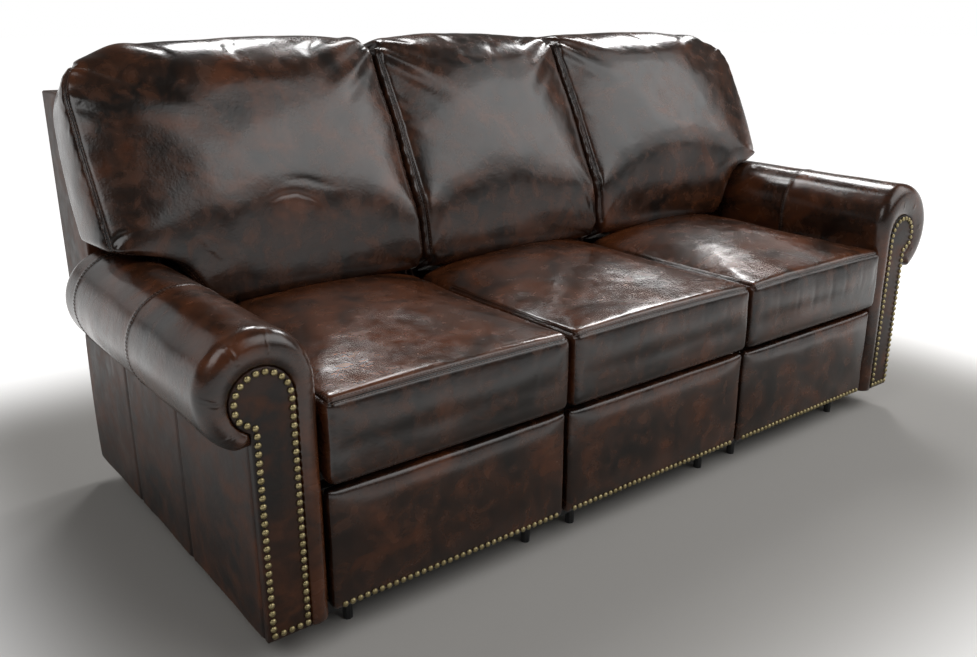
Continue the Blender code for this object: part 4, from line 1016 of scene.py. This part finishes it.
# each wing's reach past the solid, above the arm and at the top
WING_OUT = {"left": (0.018, 0.030), "right": (0.012, 0.030)}
WING_REAR = 0.010
BACK_TOP_FILL = 0.50
WING_CLEAR = {"left": 0.012, "right": 0.006}
WING_TURN = 0.020
WING_DROP = 0.040
GATHER_PITCH = 0.014
GATHER_DEPTH = 0.003
GATHER_BESIDE = 0.012
GATHER_WIDTH = 0.010
FOLD_DEPTH = 0.0018
FOLD_WIDTH = 0.006
# folds as (x, up the leaning face) from the foot of the face
BACK_FOLDS = {
    "left": (
        ((-0.694, 0.210), (-0.660, 0.220), (-0.623, 0.222), (-0.590, 0.209), (-0.564, 0.189)),
        ((-0.651, 0.253), (-0.592, 0.247), (-0.523, 0.223)),
        ((-0.856, 0.163), (-0.834, 0.127), (-0.809, 0.097)),
    ),
    "centre": (
        ((0.146, 0.161), (0.192, 0.099), (0.227, 0.023)),
        ((0.196, 0.227), (0.244, 0.136), (0.269, 0.023)),
        ((-0.285, 0.030), (-0.262, 0.018), (-0.234, 0.004)),
    ),
    "right": (),
}


def leaned(spots):
    """Places (x, behind, up) on a leaning back in the frame of the sofa."""
    spots = np.asarray(spots, float)
    placed = spots.copy()
    placed[:, 1] = BACK_FOOT[0] + spots[:, 2] * math.sin(LEAN) + spots[:, 1] * math.cos(LEAN)
    placed[:, 2] = BACK_FOOT[1] + spots[:, 2] * math.cos(LEAN) - spots[:, 1] * math.sin(LEAN)
    return placed


for order, seat in enumerate(SEATS):
    low_box, high_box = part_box(f"{seat}_back_cushion")
    low = np.array((low_box.x, 0.0, BACK_REST))
    high = np.array((high_box.x, BACK_BOXING, BACK_HEIGHT - BACK_SETTLE))
    side = (-1, 0, 1)[order]
    heights = edged(low[2], high[2], BACK_TOP_EDGE, BACK_CELL)
    if side:
        roll_reach = ROLL_RADIUS + WING_CLEAR[seat] + ROLL_PUFF[f"{seat}_arm"][1]
        wing_low = ROLL_CENTRE[1] + roll_reach
        turn_low = (wing_low - WING_DROP - BACK_FOOT[1]) / math.cos(LEAN)
        turn_high = (wing_low + WING_TURN + BACK_BOXING * math.sin(LEAN) - BACK_FOOT[1]) / math.cos(LEAN)
        kept = heights[(heights < turn_low - 0.005) | (heights > turn_high + 0.005)]
        heights = np.sort(np.concatenate((kept, np.linspace(turn_low, turn_high, 24))))
    crosswise = edged(low[0], high[0], BACK_EDGES[0], BACK_CELL)
    spots, quads, _, number = shell(crosswise, edged(low[1], high[1], BACK_EDGES[1], BOXING_CELL), heights)
    spots = rounded(spots, low, high + (0.0, BACK_EDGES[1], 0.0), BACK_EDGES)
    across = 2.0 * (spots[:, 0] - low[0]) / (high[0] - low[0]) - 1.0
    height = spots[:, 2] / BACK_HEIGHT
    deep = spots[:, 1] / BACK_BOXING
    front = 1.0 - smooth(deep, 0.0, 0.9)
    lumbar = smooth(height, 0.0, 0.28) * (1.0 - 0.25 * smooth(height, 0.55, 1.0))
    spots[:, 1] -= (BACK_FULL + BACK_CROWN * (1.0 - np.abs(across) ** 2.6)) * front * lumbar
    for way, up in ((-1, 1), (1, 1), (-1, 0), (1, 0)):
        turn = BACK_CORNERS["outer" if way == side else "inner"] if up else BACK_CORNERS["foot"]
        below = low - turn * np.array((way > 0, 0, up))
        above = high + turn * np.array((way < 0, 0, 1 - up))
        spots = rounded(spots, below, above, (turn, 0.0, turn))
    outwards = smooth(side * across, -0.3, 1.0) if side else across**2 / 2
    level = BACK_TOP_FILL * deep * BACK_BOXING * (1.0 - 0.8 * outwards)
    spots[:, 2] += (BACK_ARCH * (1.0 - across**2) + level) * smooth(height, 0.7, 1.0)
    placed = leaned(spots)
    if side:
        inner, outer = sorted(np.abs((low[0], high[0])))
        rise = np.clip((placed[:, 2] - ROLL_CENTRE[1]) / roll_reach, 0.0, 1.0)
        reach = ROLL_CENTRE[0] - roll_reach * np.sqrt(1.0 - rise**2)
        reach += (outer - reach) * smooth(placed[:, 2], wing_low - 0.004, wing_low + WING_TURN)
        share = (np.abs(placed[:, 0]) - inner) / (outer - inner)
        placed[:, 0] = side * (inner + share * (reach - inner))
        wing = np.interp(placed[:, 2], (wing_low, cad_high.z), WING_OUT[seat])
        wing += WING_REAR * smooth(deep, 0.0, 0.6) * (1.0 - 1.8 * smooth(height, 0.45, 0.95))
        wing *= smooth(placed[:, 2], wing_low - 0.03, wing_low + 0.02)
    for way in (-1, 1):
        puff = wing if way == side else BOXING_PUFF * smooth(deep, 0.0, 0.4)
        placed[:, 0] += way * puff * smooth(way * across, 0.80, 1.0)
    hide = HIDES["back"] + order
    back_piece = piece_of(f"{seat}_back_leather", placed, quads, hide, leather, BACK_DYE_AND_SHADE)
    seams = [np.concatenate((number[column, 0, 2:], number[column, 1:, -1])) for column in (0, -1)]
    foot = 1.0 - smooth(height, 0.02, 0.10)
    held = np.maximum.reduce((smooth(deep, 0.45, 0.8), foot, smooth(np.abs(across), 0.985, 1.0)))
    for seam in seams:
        held[seam] = 1.0
    stuffed(back_piece, held, BACK_SWELL)
    refined(back_piece)
    spots = read(back_piece, "co")
    uneven = BACK_UNEVEN * swell(spots, BACK_UNEVEN_SIZE, 80 + order)
    push(back_piece, uneven + BACK_RIPPLE * swell(spots, BACK_RIPPLE_SIZE, 85 + order))
    folds = [leaned([(x, -BACK_FULL, up) for x, up in fold]) for fold in BACK_FOLDS[seat]]
    creased(back_piece, folds, FOLD_DEPTH, FOLD_WIDTH)
    spots = read(back_piece, "co")
    seams = [spots[seam] for seam in seams]
    near = distance_to(spots, seams)
    boxing = smooth(np.abs(read(back_piece, "normal")[:, 0]), 0.5, 0.85)
    gathers = GATHER_DEPTH * boxing * ridge(near - GATHER_BESIDE, GATHER_WIDTH)
    push(back_piece, gathers * swell(spots, GATHER_PITCH, 90 + order))
    seamed(back_piece, seams, BACK_SEAM_DEPTH, BACK_SEAM_WIDTH)
    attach(back_piece, f"{seat}_back")
    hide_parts(f"{seat}_back_cushion")
    stitches = stitched(f"{seat}_back_stitches", back_piece, seams)
    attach(stitches, f"{seat}_back")


# The outside backs are leather pulled tight over a board behind each reclining frame, with rounded edges.
OUTSIDE_EDGE = 0.009
OUTSIDE_WELD = 0.00005
OUTSIDE_FLAT = 2.0
for order, seat in enumerate(SEATS):
    name = f"{seat}_outside_back"
    rear = bpy.data.objects.new(f"{seat}_outside_leather", frame["nodes"][name].data.copy())
    scene.collection.objects.link(rear)
    weld = rear.modifiers.new("weld", "WELD")
    weld.merge_threshold = OUTSIDE_WELD
    plain = rear.modifiers.new("plain", "DECIMATE")
    plain.decimate_type = "DISSOLVE"
    plain.angle_limit = math.radians(OUTSIDE_FLAT)
    edge = rear.modifiers.new("edge", "BEVEL")
    edge.width = OUTSIDE_EDGE
    edge.segments = 3
    edge.limit_method = "ANGLE"
    graph = bpy.context.evaluated_depsgraph_get()
    mesh = bpy.data.meshes.new_from_object(rear.evaluated_get(graph))
    rear.modifiers.clear()
    rear.data = mesh
    mesh.materials.clear()
    mesh.materials.append(split)
    panel = mesh.attributes.new("hide", "FLOAT", "FACE")
    panel.data.foreach_set("value", np.full(len(mesh.polygons), HIDES["outside"] + order, np.float32))
    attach(rear, f"{seat}_back")
    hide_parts(name)
